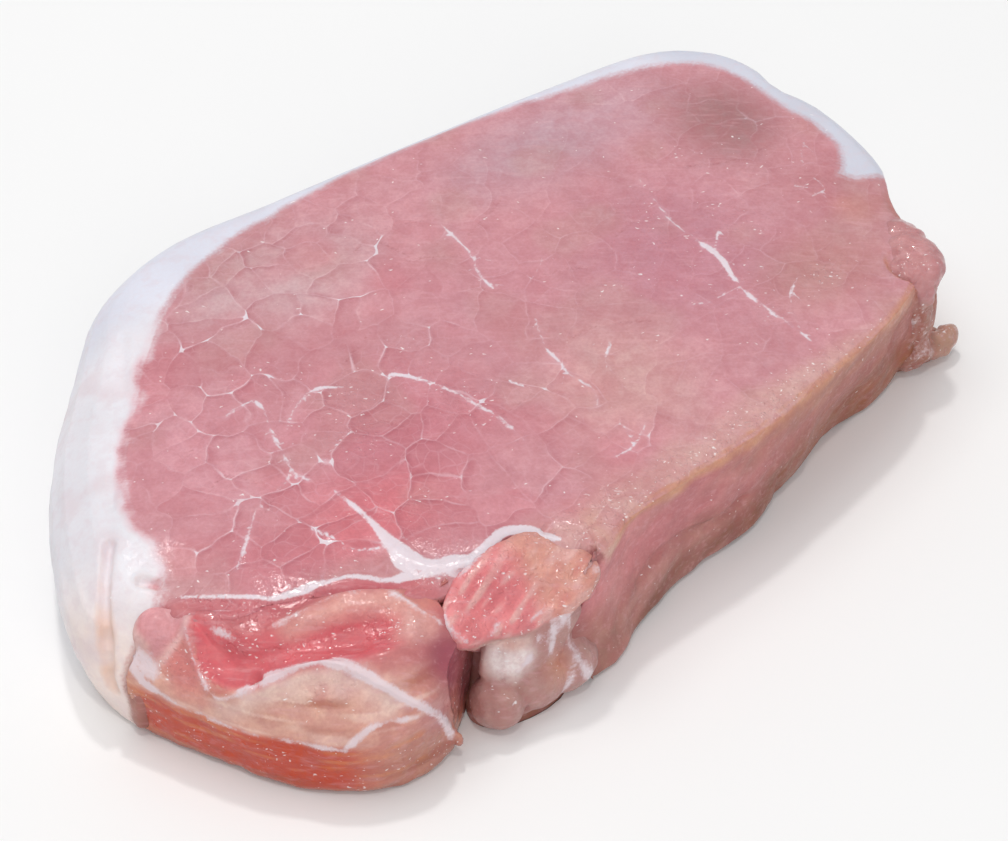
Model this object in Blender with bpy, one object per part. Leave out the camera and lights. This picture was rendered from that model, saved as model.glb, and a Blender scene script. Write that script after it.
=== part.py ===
"""A raw boneless pork loin chop, cut thick.

The slice lies flat on its cut face. Its long side runs along X, its thickness along Z, and
the origin is on the underside at the middle of the outline. The body is lofted from one
outline whose side form changes round the slice, then parted along the seams that run
through it: the fat cap round the back and the left, the loin eye, and the side muscle.
A loose flap of trim hangs over the cleft in the front, and a folded scrap hangs at the
right end. All sizes below are in millimetres.
"""

from collections import namedtuple
from math import cos, pi, radians, sin

import bmesh
import bpy
import numpy as np
from mathutils import Vector

# ---------------------------------------------------------------- driving dimensions
MM = 0.001
PLATEAU = 23.0          # thickness of the slice over its middle
GAP = 0.3               # play kept between pieces that touch
RIM_POINTS = 132        # points round the outline
SPINE_HALF = 34.0       # the top evens out towards a line of this half length
SPINE_Y = 4.0           # where that line lies
TOP_STEPS = (0.10, 0.26, 0.50)      # rings of the top face, as shares of the way to the line
BLOB_POINTS = 20        # points round one level of a flap or a scrap
OVERRUN = 4.0           # how far a cutter runs past the top and the underside
MERGE = 0.01            # slivers narrower than this are closed after a cut
SEAM_STEP = 3.2         # length of one facet along a seam
SPLINE_STEPS = 12       # steps of a smooth curve between two of its points
FOOT_TURNS = (0, 45, 90)                    # degrees round the foot
WALL_SHARES = (0.35, 0.7)                   # rings between foot and shoulder
SHOULDER_TURNS = (0, 22.5, 45, 67.5, 90)    # degrees round the shoulder
TUCK_CURVE = 1.5        # how soon a tucked foot leaves the line of the wall
CREASE = 40.0           # degrees past which an edge is drawn sharp

# How the side of the slice stands at a place of its outline.
#   top       height at the inner edge of the rounded shoulder
#   shoulder  width of the shoulder, seen from above
#   drop      height of the shoulder
#   power     1 is a round shoulder, 2 a straight chamfer
#   tuck      how far the foot stands in from the outline; negative flares out
#   foot      radius of the rounded foot
Side = namedtuple("Side", "top shoulder drop power tuck foot")

SIDES = {
    "flared_front": Side(22.6, 2.2, 2.2, 1.0, -3.6, 1.2),
    "eased_front": Side(22.6, 2.0, 2.2, 1.0, -2.2, 1.2),
    "plumb_front": Side(22.6, 2.0, 2.2, 1.0, 0.2, 1.2),
    "sloped_front": Side(22.4, 2.0, 2.2, 1.0, 2.2, 1.2),
    "tucked_front": Side(22.2, 2.2, 2.4, 1.0, 4.6, 1.2),
    "right_end": Side(22.0, 2.0, 2.2, 1.0, 1.2, 1.2),
    "right_fat": Side(22.2, 2.2, 2.6, 1.0, 1.0, 1.5),
    "back_fat": Side(22.8, 3.0, 3.6, 1.0, 1.0, 1.8),
    "turning_fat": Side(23.0, 5.5, 6.5, 1.0, 1.4, 2.2),
    "bulging_fat": Side(23.0, 10.5, 11.5, 1.0, 2.2, 2.6),
    "fat_heel": Side(21.6, 7.5, 11.0, 1.1, 2.0, 2.0),
    "low_lobe": Side(20.6, 8.0, 8.6, 1.5, 0.6, 1.6),
    "lobe": Side(20.4, 9.0, 9.4, 1.5, 0.0, 1.6),
    "lobe_lip": Side(21.0, 9.0, 6.6, 1.4, -0.6, 1.4),
}

# The widest outline, anticlockwise from the front left, each place with its kind of side.
OUTLINE = (
    (-24.0, -42.0, "flared_front"),
    (-14.0, -43.8, "flared_front"),
    (-4.0, -40.8, "eased_front"),
    (8.0, -39.6, "plumb_front"),
    (20.5, -38.4, "plumb_front"),
    (32.0, -36.0, "sloped_front"),
    (43.5, -33.6, "tucked_front"),
    (54.0, -30.4, "sloped_front"),
    (62.0, -25.8, "right_end"),
    (66.8, -19.6, "right_end"),
    (69.3, -11.0, "right_end"),
    (73.6, -3.6, "right_end"),
    (75.2, 6.0, "right_fat"),
    (75.0, 15.0, "right_fat"),
    (73.0, 21.5, "right_fat"),
    (73.2, 28.0, "right_fat"),
    (69.8, 35.6, "right_fat"),
    (60.6, 41.6, "back_fat"),
    (43.0, 43.6, "back_fat"),
    (15.0, 45.3, "back_fat"),
    (-8.0, 46.2, "back_fat"),
    (-25.5, 47.0, "back_fat"),
    (-41.2, 43.2, "turning_fat"),
    (-54.8, 31.4, "bulging_fat"),
    (-64.9, 18.6, "bulging_fat"),
    (-72.2, 4.4, "bulging_fat"),
    (-75.9, -8.6, "fat_heel"),
    (-72.2, -18.6, "low_lobe"),
    (-66.8, -29.5, "low_lobe"),
    (-60.2, -39.0, "lobe"),
    (-51.2, -46.0, "lobe"),
    (-42.2, -46.2, "lobe_lip"),
    (-34.0, -43.8, "lobe_lip"),
)

# Where fat meets lean: in from the right end, round the hook of fat, along the back,
# down the left and out again at the heel.
FAT_SEAM = (
    (80.0, -8.0), (72.5, -5.6), (67.6, -3.8), (66.0, -1.8), (68.2, 0.2), (70.6, 4.0),
    (70.8, 10.0), (69.6, 17.0), (69.0, 26.0), (65.2, 33.2), (56.0, 37.2), (42.5, 39.4),
    (13.3, 42.4), (-12.9, 40.6), (-25.0, 38.0), (-34.0, 33.6), (-41.5, 27.6),
    (-49.2, 18.4), (-56.8, 8.8), (-60.6, -1.0), (-61.6, -9.0), (-65.6, -14.4),
    (-72.5, -16.0), (-82.0, -17.5),
)

# Where the loin eye meets the side muscle, from inside the fat to inside the cleft.
MUSCLE_SEAM = (
    (-70.0, -12.0), (-64.0, -16.0), (-59.8, -20.6), (-54.0, -23.6), (-48.2, -26.2),
    (-41.2, -29.8), (-35.6, -32.8), (-30.0, -34.4), (-27.0, -34.8),
)

# The cleft between the side muscle and the hanging trim, seen from above.
CLEFT = (
    (-26.4, -34.0), (-25.8, -35.6), (-28.8, -39.4), (-31.6, -42.8), (-34.4, -47.0),
    (-36.0, -53.0), (-41.6, -53.0), (-38.2, -44.8), (-33.8, -41.2), (-30.4, -38.6),
    (-27.8, -35.4),
)

# Loose pieces are lofted through flat ovals, from the floor up. Each level gives its
# height, the middle of its oval, the two half widths and the turn in degrees.
Level = namedtuple("Level", "z x y half_length half_width turn")

TRIM_FLAP = (
    Level(0.0, -24.6, -43.8, 8.6, 4.2, 4),
    Level(1.2, -24.8, -44.2, 9.8, 5.2, 4),
    Level(5.0, -24.8, -43.6, 9.8, 5.0, 4),
    Level(8.4, -23.8, -41.6, 8.6, 3.6, 2),
    Level(11.0, -23.0, -40.0, 8.4, 3.4, 0),
    Level(13.2, -23.0, -39.8, 10.2, 4.4, -3),
    Level(15.4, -23.0, -39.6, 11.4, 5.2, -4),
    Level(18.2, -22.8, -38.8, 11.6, 5.2, -5),
    Level(20.8, -22.7, -38.6, 11.2, 4.8, -5),
    Level(22.4, -22.5, -38.3, 9.8, 3.8, -5),
)

TAIL_END = (
    Level(0.0, 65.2, -24.3, 6.2, 2.4, -9),
    Level(1.2, 65.3, -24.4, 7.1, 3.2, -9),
    Level(3.6, 64.8, -24.2, 6.8, 3.2, -9),
    Level(6.4, 63.2, -23.5, 5.0, 3.4, -9),
    Level(10.0, 62.4, -22.8, 3.9, 3.6, 0),
    Level(14.0, 62.2, -22.8, 3.8, 3.7, 0),
    Level(17.4, 62.6, -23.6, 4.3, 4.0, 0),
    Level(19.8, 62.6, -23.6, 4.2, 3.7, 0),
    Level(21.6, 62.4, -23.2, 3.1, 2.7, 0),
)

# Surface of each piece: colour, roughness.
FINISHES = {
    "loin_eye": ((0.62, 0.25, 0.25), 0.34),
    "fat_cap": ((0.86, 0.80, 0.78), 0.42),
    "side_muscle": ((0.60, 0.20, 0.17), 0.30),
    "trim_flap": ((0.64, 0.30, 0.25), 0.32),
    "tail_end": ((0.56, 0.32, 0.25), 0.34),
}


# ---------------------------------------------------------------- curves
def spline_through(points, closed):
    """Points of a smooth curve through the given ones, and each one's place along them."""
    points = np.array(points, float)
    count = len(points)
    spans = count if closed else count - 1
    curve = []
    places = []
    for span in range(spans):
        if closed:
            a, b, c, d = (points[(span + k) % count] for k in (-1, 0, 1, 2))
        else:
            a, b, c, d = (points[min(max(span + k, 0), count - 1)] for k in (-1, 0, 1, 2))
        for t in np.arange(SPLINE_STEPS) / SPLINE_STEPS:
            smooth = (2 * b + (c - a) * t + (2 * a - 5 * b + 4 * c - d) * t ** 2
                      + (3 * b - a - 3 * c + d) * t ** 3) / 2
            curve.append(smooth)
            places.append(span + t)
    if not closed:
        curve.append(points[-1])
        places.append(float(spans))
    return np.array(curve), np.array(places)


def even_steps(curve, places, count, closed):
    """The curve again with its points at equal distances."""
    if closed:
        curve = np.vstack([curve, curve[:1]])
        places = np.append(places, np.ceil(places[-1]))
    lengths = np.linalg.norm(np.diff(curve, axis=0), axis=1)
    run = np.concatenate([[0.0], np.cumsum(lengths)])
    stops = np.linspace(0.0, run[-1], count + 1 if closed else count)
    if closed:
        stops = stops[:-1]
    even = np.column_stack([np.interp(stops, run, curve[:, axis]) for axis in (0, 1)])
    return even, np.interp(stops, run, places)


def outward_normals(ring):
    """Unit normals of an anticlockwise ring, pointing out."""
    along = np.roll(ring, -1, axis=0) - np.roll(ring, 1, axis=0)
    normals = np.column_stack([along[:, 1], -along[:, 0]])
    return normals / np.linalg.norm(normals, axis=1)[:, None]


def sides_along(places):
    """The side form at each place, eased from one outline point to the next."""
    stations = np.array([SIDES[kind] for _, _, kind in OUTLINE])
    low = np.floor(places).astype(int) % len(stations)
    high = (low + 1) % len(stations)
    share = places - np.floor(places)
    ease = (share * share * (3 - 2 * share))[:, None]
    return Side(*(stations[low] * (1 - ease) + stations[high] * ease).T)


# ---------------------------------------------------------------- meshes
def loft(name, rings):
    """A closed solid through rings of equal count, with a flat face at each end."""
    mesh = bmesh.new()
    rows = [[mesh.verts.new(Vector(point) * MM) for point in ring] for ring in rings]
    for lower, upper in zip(rows, rows[1:]):
        for k in range(len(lower)):
            follow = (k + 1) % len(lower)
            mesh.faces.new((lower[k], lower[follow], upper[follow], upper[k]))
    mesh.faces.new(list(reversed(rows[0])))
    mesh.faces.new(rows[-1])
    bmesh.ops.recalc_face_normals(mesh, faces=mesh.faces)
    return to_object(name, mesh)


def to_object(name, mesh):
    """An object that holds the mesh."""
    data = bpy.data.meshes.new(name)
    mesh.to_mesh(data)
    mesh.free()
    thing = bpy.data.objects.new(name, data)
    bpy.context.collection.objects.link(thing)
    return thing


def prism(name, outline):
    """An upright block on an outline seen from above, through the whole thickness."""
    rings = [[(x, y, z) for x, y in outline] for z in (-OVERRUN, PLATEAU + OVERRUN)]
    return loft(name, rings)


def seam_blade(name, route):
    """A thin upright blade that follows a seam, as wide as the gap between the pieces."""
    curve, places = spline_through(route, closed=False)
    length = np.linalg.norm(np.diff(curve, axis=0), axis=1).sum()
    curve, _ = even_steps(curve, places, int(length / SEAM_STEP), closed=False)
    along = np.gradient(curve, axis=0)
    across = np.column_stack([-along[:, 1], along[:, 0]])
    across *= GAP / 2 / np.linalg.norm(across, axis=1)[:, None]
    return prism(name, np.vstack([curve - across, (curve + across)[::-1]]))


def cut(thing, cutter):
    """Takes the cutter's shape out of the thing, then drops the cutter."""
    modifier = thing.modifiers.new("cut", "BOOLEAN")
    modifier.operation = "DIFFERENCE"
    modifier.solver = "EXACT"
    modifier.object = cutter
    bpy.context.view_layer.update()
    evaluated = thing.evaluated_get(bpy.context.evaluated_depsgraph_get())
    data = bpy.data.meshes.new_from_object(evaluated)
    thing.modifiers.clear()
    thing.data = data
    bpy.data.objects.remove(cutter)
    mesh = bmesh.new()
    mesh.from_mesh(data)
    bmesh.ops.remove_doubles(mesh, verts=mesh.verts, dist=MERGE * MM)
    bmesh.ops.dissolve_degenerate(mesh, edges=mesh.edges, dist=MERGE * MM)
    mesh.to_mesh(data)
    mesh.free()


def volume_of(thing):
    """The volume inside a closed object."""
    mesh = bmesh.new()
    mesh.from_mesh(thing.data)
    volume = mesh.calc_volume()
    mesh.free()
    return volume


def split_pieces(thing, count):
    """The largest loose parts of a mesh, each an object of its own; crumbs are dropped."""
    bpy.ops.object.select_all(action="DESELECT")
    thing.select_set(True)
    bpy.context.view_layer.objects.active = thing
    bpy.ops.mesh.separate(type="LOOSE")
    pieces = sorted(bpy.context.selected_objects, key=volume_of, reverse=True)
    for crumb in pieces[count:]:
        bpy.data.objects.remove(crumb)
    return pieces[:count]


# ---------------------------------------------------------------- the pieces
def slice_body():
    """The whole slice: foot, side wall, shoulder and a top face that is level inside."""
    curve, places = spline_through([(x, y) for x, y, _ in OUTLINE], closed=True)
    rim, places = even_steps(curve, places, RIM_POINTS, closed=True)
    normals = outward_normals(rim)
    side = sides_along(places)
    wall_top = side.top - side.drop

    def ring(offset, height):
        moved = rim + normals * offset[:, None]
        return np.column_stack([moved, height])

    rings = []
    for turn in FOOT_TURNS:
        angle = radians(turn)
        inset = side.tuck + side.foot * (1 - sin(angle))
        rings.append(ring(-inset, side.foot * (1 - cos(angle))))
    for share in WALL_SHARES:
        height = side.foot + (wall_top - side.foot) * share
        rings.append(ring(-side.tuck * (1 - share) ** TUCK_CURVE, height))
    for turn in SHOULDER_TURNS:
        angle = radians(turn)
        inset = side.shoulder * (1 - np.abs(cos(angle)) ** side.power)
        rings.append(ring(-inset, wall_top + side.drop * sin(angle) ** side.power))
    crest = rings[-1]
    spine = np.column_stack([np.clip(crest[:, 0], -SPINE_HALF, SPINE_HALF),
                             np.full(len(crest), SPINE_Y)])
    for step in TOP_STEPS:
        ease = sin(step / TOP_STEPS[-1] * pi / 2)
        inner = crest[:, :2] * (1 - step) + spine * step
        rings.append(np.column_stack([inner, crest[:, 2] * (1 - ease) + PLATEAU * ease]))
    return loft("slice_body", rings)


def oval_stack(name, levels):
    """A loose piece: flat ovals one above the other."""
    rings = []
    for level in levels:
        turn = radians(level.turn)
        ring = []
        for k in range(BLOB_POINTS):
            angle = 2 * pi * k / BLOB_POINTS
            u = level.half_length * cos(angle)
            v = level.half_width * sin(angle)
            ring.append((level.x + u * cos(turn) - v * sin(turn),
                         level.y + u * sin(turn) + v * cos(turn), level.z))
        rings.append(ring)
    return loft(name, rings)


def room_for(name, levels):
    """The space a loose piece takes, with the gap round it and open above its widest level."""
    wider = [level._replace(half_length=level.half_length + GAP,
                            half_width=level.half_width + GAP) for level in levels]
    wider[0] = wider[0]._replace(z=levels[0].z - OVERRUN)
    widest = max(range(len(wider)), key=lambda k: (wider[k].half_width, wider[k].z))
    wider[widest + 1:] = [wider[widest]._replace(z=PLATEAU + OVERRUN)]
    return oval_stack(name, wider)


def finish(thing, name):
    """Names a piece and gives it its colour and smooth shading."""
    colour, roughness = FINISHES[name]
    thing.name = name
    thing.data.name = name
    material = bpy.data.materials.new(name)
    material.use_nodes = True
    shader = material.node_tree.nodes["Principled BSDF"]
    shader.inputs["Base Color"].default_value = (*colour, 1.0)
    shader.inputs["Roughness"].default_value = roughness
    material.diffuse_color = (*colour, 1.0)
    thing.data.materials.clear()
    thing.data.materials.append(material)
    thing.data.shade_smooth()
    thing.data.set_sharp_from_angle(angle=radians(CREASE))


def centre(things):
    """Moves the meshes together so that the middle of their outline is at the origin."""
    for axis in (0, 1):
        places = [vertex.co[axis] for thing in things for vertex in thing.data.vertices]
        middle = (min(places) + max(places)) / 2
        for thing in things:
            for vertex in thing.data.vertices:
                vertex.co[axis] -= middle


def build():
    """Clears the scene, then lofts the slice, parts it and adds its loose pieces."""
    for old in list(bpy.data.objects):
        bpy.data.objects.remove(old)

    body = slice_body()
    cut(body, prism("cleft_cutter", CLEFT))
    cut(body, room_for("flap_room", TRIM_FLAP))
    cut(body, room_for("tail_room", TAIL_END))
    cut(body, seam_blade("fat_seam", FAT_SEAM))
    lean, fat = split_pieces(body, 2)
    cut(lean, seam_blade("muscle_seam", MUSCLE_SEAM))
    eye, side_muscle = split_pieces(lean, 2)

    flap = oval_stack("flap", TRIM_FLAP)
    tail = oval_stack("tail", TAIL_END)
    centre([eye, fat, side_muscle, flap, tail])

    finish(eye, "loin_eye")
    finish(fat, "fat_cap")
    finish(side_muscle, "side_muscle")
    finish(flap, "trim_flap")
    finish(tail, "tail_end")


build()
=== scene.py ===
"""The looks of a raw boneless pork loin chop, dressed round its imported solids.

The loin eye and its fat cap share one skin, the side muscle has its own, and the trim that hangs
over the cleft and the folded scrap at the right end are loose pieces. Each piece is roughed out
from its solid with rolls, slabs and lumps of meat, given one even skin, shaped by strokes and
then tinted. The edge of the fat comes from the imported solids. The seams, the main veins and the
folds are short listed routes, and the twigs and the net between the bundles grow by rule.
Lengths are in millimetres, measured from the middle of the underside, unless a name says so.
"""

from collections import namedtuple
from math import cos, radians, sin
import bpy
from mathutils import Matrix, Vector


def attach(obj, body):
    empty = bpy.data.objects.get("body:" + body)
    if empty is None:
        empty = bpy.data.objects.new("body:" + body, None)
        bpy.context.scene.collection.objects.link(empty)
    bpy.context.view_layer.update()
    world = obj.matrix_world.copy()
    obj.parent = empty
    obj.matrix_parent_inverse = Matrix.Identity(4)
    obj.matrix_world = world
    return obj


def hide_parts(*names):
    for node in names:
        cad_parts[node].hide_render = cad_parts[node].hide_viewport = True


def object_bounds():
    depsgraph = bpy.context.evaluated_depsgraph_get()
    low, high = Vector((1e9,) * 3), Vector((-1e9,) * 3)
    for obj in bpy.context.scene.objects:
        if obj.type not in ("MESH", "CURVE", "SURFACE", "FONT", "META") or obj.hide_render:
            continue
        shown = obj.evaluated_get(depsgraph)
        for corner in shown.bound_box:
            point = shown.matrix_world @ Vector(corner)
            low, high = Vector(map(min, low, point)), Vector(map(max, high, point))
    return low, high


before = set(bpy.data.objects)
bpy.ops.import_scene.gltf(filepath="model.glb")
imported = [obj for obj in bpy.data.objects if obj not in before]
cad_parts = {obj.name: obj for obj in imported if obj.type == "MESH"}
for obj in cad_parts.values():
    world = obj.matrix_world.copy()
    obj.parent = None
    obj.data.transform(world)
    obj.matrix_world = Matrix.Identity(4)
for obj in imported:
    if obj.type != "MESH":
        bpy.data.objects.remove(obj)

from types import SimpleNamespace

import bpy
import numpy as np
from mathutils import Euler, Matrix, Vector
from mathutils.bvhtree import BVHTree

CAD_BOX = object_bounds()
MM = 0.001
BODY = "root"

# ---------------------------------------------------------------- sizes of the work
OVERLAP = 0.2           # how far a cover swells so that it closes the gap to its neighbour
SLICE_GRID = 0.49       # facets of the loin and its fat
FOLD_GRID = 0.38        # facets of the side muscle
TRIM_GRID = 0.34        # facets of the hanging trim and the scrap
RELAX_TURNS = 5         # rounds of smoothing that a new skin gets
TRIM_TURNS = 10
LEAST_ROLL = 0.6        # a thinner roll would fall between the facets
FACE_DROP = 0.35        # the cut face sits this far down, so that its relief has room
UNDERSIDE_KEEP = 0.10   # share of the facets kept on the underside
BACK_KEEP = 0.35        # share of the facets kept on the back wall
HAIR = 0.002            # kept between the skins and the box of the solids
FAR = 9.0               # distances from a seam are followed this far

# ---------------------------------------------------------------- fat and seams
FURROW = ((-43, 33), (-50, 22), (-55, 14), (-62, 5))
# Slits in the heel of the fat: a place near the surface and the half width there.
SLIT = ((-66, -1, 22.3, 0.3), (-69.5, -5.5, 21, 0.7), (-73, -11, 16, 0.9), (-74, -13, 8, 0.8))
SMALL_SLIT = ((-65.5, -9, 22, 0.4), (-64, -10.5, 22, 0.5))

# Routes of fat in plan: places, the last number being the half width there.
LOWER_SEAM = ((-62.5, -14, 0.2), (-56, -19.5, 0.35), (-52.5, -22.5, 0.45), (-47.5, -24, 0.6),
              (-42.5, -25.5, 0.45), (-39, -28.5, 0.4), (-35.5, -30, 0.8), (-28, -33, 1.1))
UPPER_SEAM = ((-35.5, -11.5, 0.1), (-34.7, -18, 0.55), (-34.5, -25, 1.3), (-32.5, -30, 1.9),
              (-28, -33, 1.3))
ARCH = ((-28, -33.3, 1.0), (-23, -32.3, 1.0), (-20, -32, 1.2), (-17, -34.5, 0.9),
        (-15.2, -37, 0.3))
# A pale ridge beside the tongue: place and half width.
PALE_RIDGE = ((-9, -36, 22, 0.8), (-10, -39.5, 22, 1.2), (-9.5, -42, 19.5, 0.8))

# Fat that seals the joint between the side muscle and the rest: place and radius.
SEALS = (
    ((-64, -15.4, 19.4, 1.7), (-59.6, -20.4, 19.7, 1.8), (-54, -23.6, 19.8, 1.9),
     (-48, -26.4, 19.8, 1.9), (-41, -30, 19.8, 1.9), (-35.5, -32.8, 19.8, 1.9),
     (-29, -34.4, 19.6, 1.8)),
    ((-64, -14.6, 18.4, 1.8), (-67, -15, 16, 1.9), (-69.4, -15.5, 12.5, 1.9),
     (-70.8, -16, 9, 1.8), (-71.4, -16.2, 3, 1.6)),
)

FAT_STRANDS = (0.55, 0.83, 0.0)     # the way along which the strands of the fat are told apart
# Main veins of the loin eye, each with its widest half width.
Vein = namedtuple("Vein", "width route")
VEINS = (
    Vein(0.56, ((9, 26), (9, 20), (8, 15), (7, 9.5))),
    Vein(0.42, ((-18, 0), (-16, 3.5), (-12, -2), (-9.5, -8), (-8, -16), (-8.5, -20.5))),
    Vein(0.34, ((8.5, 0.5), (5.5, -6), (5, -12), (6, -17), (5, -19.5))),
    Vein(0.28, ((14, -10), (10, -15))),
    Vein(0.24, ((17, 11), (14, 8), (11, 7.5))),
    Vein(0.22, ((-2.5, -8), (0, -13.5))),
    Vein(0.52, ((40, 16.5), (38, 8), (38, 1), (38.5, -6), (37, -13), (38, -20), (38, -27))),
    Vein(0.32, ((37, -12), (32, -12), (28, -10.5))),
    Vein(0.22, ((42.5, -0.5), (39, -3.5))),
    Vein(0.28, ((46, -15.5), (41.5, -18.5), (38.5, -24))),
    Vein(0.22, ((42.5, -10), (41, -16))),
    Vein(0.24, ((68, 10), (64, 6), (63, 1), (60, -5.5))),
    Vein(0.20, ((59, 1), (60.5, -1))),
    Vein(0.38, ((8, -26.5), (4.5, -29), (0, -29))),
    Vein(0.24, ((4.5, -29), (5, -25))),
    Vein(0.46, ((-40, 10), (-35, 10.5), (-36, 4), (-38, -4), (-37, -7.5))),
    Vein(0.28, ((-38, -4.5), (-42, -6.5))),
    Vein(0.40, ((-44.5, -7), (-48.5, -10.5), (-54, -15.5))),
    Vein(0.42, ((-42, -15.5), (-40, -20), (-38.5, -22.5), (-35, -24.5))),
    Vein(0.44, ((-23, 5), (-26, 7), (-30, 6), (-34, 3))),
    Vein(0.24, ((-29, -3.5), (-34, -6))),
)
# Rows along which the corners between bundles are rich in fat.
ROWS = (
    ((-43, 26), (-36, 25.5), (-29, 25), (-14, 21)),
    ((-39, 16), (-34, 14), (-29, 14)),
    ((-48, 15), (-43, 10.5), (-39, 10)),
    ((-42, 0), (-47, 0.5), (-52, -3)),
    ((-48, -7.5), (-55.5, -9.5)),
    ((-21, 9), (-13, 8), (-3, 6)),
    ((-12, 19), (-8, 21.5), (-1, 29)),
    ((20, -3), (26, 2), (27, 7), (23, 12)),
    ((45, -12), (46, -4), (49, 6)),
    ((58, 28), (63, 21), (67, 14)),
    ((46, 35), (52, 33.5)),
    ((21, -27), (30, -23), (34, -25)),
)
TWIG_STEP = 4.5         # usual distance from one twig of a vein to the next
VEIN_BLUR = 0.38        # softness of a vein's edges and of the halo round it
HALO_BLUR = 1.3
# Creases where one bundle laps over the next: sunk into the face and darkened with painted shade.
CREASES = (
    ((-5, 28.5), (1, 30.5), (8, 28)),
    ((-1, 29), (1, 23)),
    ((-3.5, 22.5), (2, 21.5), (7.5, 18.5)),
    ((11, 21.5), (20, 25)),
    ((14.5, 7.5), (19, 6.5), (21.5, 4.5)),
    ((-7.5, -13), (-1, -12)),
    ((-19.5, 9.5), (-13, 12.5)),
    ((-26, -3.5), (-22, -4), (-20, -8)),
    ((-51.5, -2.5), (-46.5, 0), (-43.5, -3.5)),
    ((-43.5, 9), (-49.5, 6)),
    ((-46.5, -9.5), (-39, -5.5)),
    ((34.5, 9.5), (29, 8), (26.5, 5.5)),
    ((47, 15), (54, 11.5), (62, 11)),
    ((8.5, -6.5), (14, -6), (22, -10)),
)

# ---------------------------------------------------------------- folds of the side muscle
# Each is laid on the solid's own surface: a place near it and the half width of the fold.
LIP = ((-63, -16, 20, 0.1), (-66, -23, 17, 0.16), (-65.5, -28, 14.5, 0.45), (-60, -30.5, 17.5, 0.9),
       (-53, -33.8, 19.5, 1.1), (-49.5, -38, 18.5, 0.95), (-46, -43, 16, 0.8),
       (-41, -45.8, 10, 0.8), (-39, -46, 5, 0.8))
FOLD = ((-56, -26, 20, 0.3), (-51, -26.5, 21, 0.7), (-46.5, -27, 21, 0.9),
        (-42.5, -28.5, 21, 1.0), (-39, -31.5, 20.6, 0.9), (-37.5, -35, 19.8, 0.7),
        (-36, -37.5, 19, 0.4))
OUTER_LINE = ((-72.5, -14, 15.5, 0.8), (-71, -20, 11.5, 0.55), (-65.5, -30, 10.4, 0.5),
              (-58, -40, 10.6, 0.5), (-55, -42.6, 10.2, 0.4))
BRANCH_LINE = ((-55, -42.5, 10.6, 0.4), (-51, -43.6, 13.6, 0.6), (-45, -45.4, 13.2, 0.3))
# Outlines in plan of the hollow and of the small round muscle.
BOWL = ((-63, -17.5), (-59, -25), (-51, -28), (-43, -31), (-39, -35), (-42, -38.4), (-49, -37),
        (-56, -33), (-62.5, -30), (-66, -24))
SMALL_MUSCLE = ((-70, -14), (-67, -10.5), (-63.5, -11), (-62.2, -15), (-65, -18.5), (-69.5, -18))
# The way the fibres of the side muscle run, round the outside of its lobe.
LOBE_WAY = ((-72.5, -14, 14), (-70, -22, 11), (-65, -31, 10.4), (-58, -40, 10.4),
            (-50, -44.5, 10), (-42, -46.5, 10), (-36, -45.5, 9))
CURL = ((-62.3, -29.2, 16.5, 0.15), (-60.8, -28.6, 18, 0.2), (-59.7, -30, 18.2, 0.2),
        (-60.8, -31.4, 17.2, 0.15))
CURL_PIT = (-60.9, -29.9, 17.3)
WHITE_BLOB = ((-62.4, -20.6, 20.3, 0.25), (-61.4, -22.6, 20.3, 0.6), (-60.4, -24.6, 20.0, 0.3))
HORN = (-33.4, -34.6, 21.6)     # a corner beside the tongue that is pressed down
HEEL_CREASE = ((-73, -12.5, 15), (-74, -14.5, 10), (-73, -17, 5))

# ---------------------------------------------------------------- loose pieces
# How far the slice's own meat is set back behind the solids of the loose pieces.
CORES = {"trim_flap": (0.8, 2.4, -2.6), "tail_end": (-0.8, 1.8, -1.0)}
# Lumps of meat: middle, half lengths, turn in degrees.
BEDDING = (
    ((-22, -36.4, 13.4), (12, 6, 5), (24, 0, 0)),
    ((-13.6, -36.8, 18), (5.4, 4.8, 4.9), (0, 0, 0)),
    ((-15.5, -40.4, 6.5), (6, 4.2, 7.5), (0, 0, 0)),
    ((62.5, -20.6, 17), (5.6, 5.8, 5), (0, 0, 0)),
    ((60.5, -22, 8), (4.4, 4.4, 8.5), (0, 0, 0)),
)
TRIM_LUMPS = (
    ((-30.2, -43.2, 4.4), (3.9, 3.9, 4.6), (0, 0, 0)),
    ((-27, -42.6, 4.8), (5, 4.0, 4.7), (0, 0, 0)),
    ((-23.8, -43, 4.9), (5.4, 4.2, 4.9), (0, 0, 0)),
    ((-18.4, -43.2, 4.4), (4.8, 4, 4.6), (0, 0, 0)),
    ((-23.4, -42, 9.8), (6.6, 3.2, 6.2), (0, 0, 0)),
    ((-19.5, -41.6, 13.5), (4.4, 3, 4), (0, 0, 0)),
    ((-15.8, -41.4, 7.5), (2.8, 2.2, 6.4), (0, 0, 0)),
    ((-24, -38.8, 17.4), (9.2, 5.2, 2.1), (25, -3, -4)),
)
SCRAP_LUMPS = (
    ((63.2, -21, 18.6), (4.6, 5.2, 3.2), (0, 8, 40)),
    ((66.2, -15.5, 19.5), (3.0, 4.2, 2.8), (0, 0, 12)),
    ((64.4, -19.4, 19.4), (4.6, 6.4, 3.2), (0, 0, 8)),
    ((62.6, -23.4, 17), (3.6, 3.2, 3.4), (0, 0, 0)),
    ((62.2, -23.4, 10.5), (3.5, 3, 7.6), (0, 4, 0)),
    ((65.6, -23, 9.5), (1.8, 2.4, 6.6), (0, 6, 0)),
    ((63, -24, 4.6), (3.8, 2.6, 4), (0, 0, 0)),
    ((67.6, -24, 2.8), (4.2, 2.3, 2.3), (0, 6, -6)),
    ((70.4, -23.6, 3.6), (1.9, 1.7, 1.8), (0, 0, 0)),
)
SIDE_LUMPS = (
    ((-66.4, -14.4, 16.2), (4.4, 4.2, 4.4)),
    ((-38.6, -45.8, 4.2), (1.0, 1.0, 1.6)),
)
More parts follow.
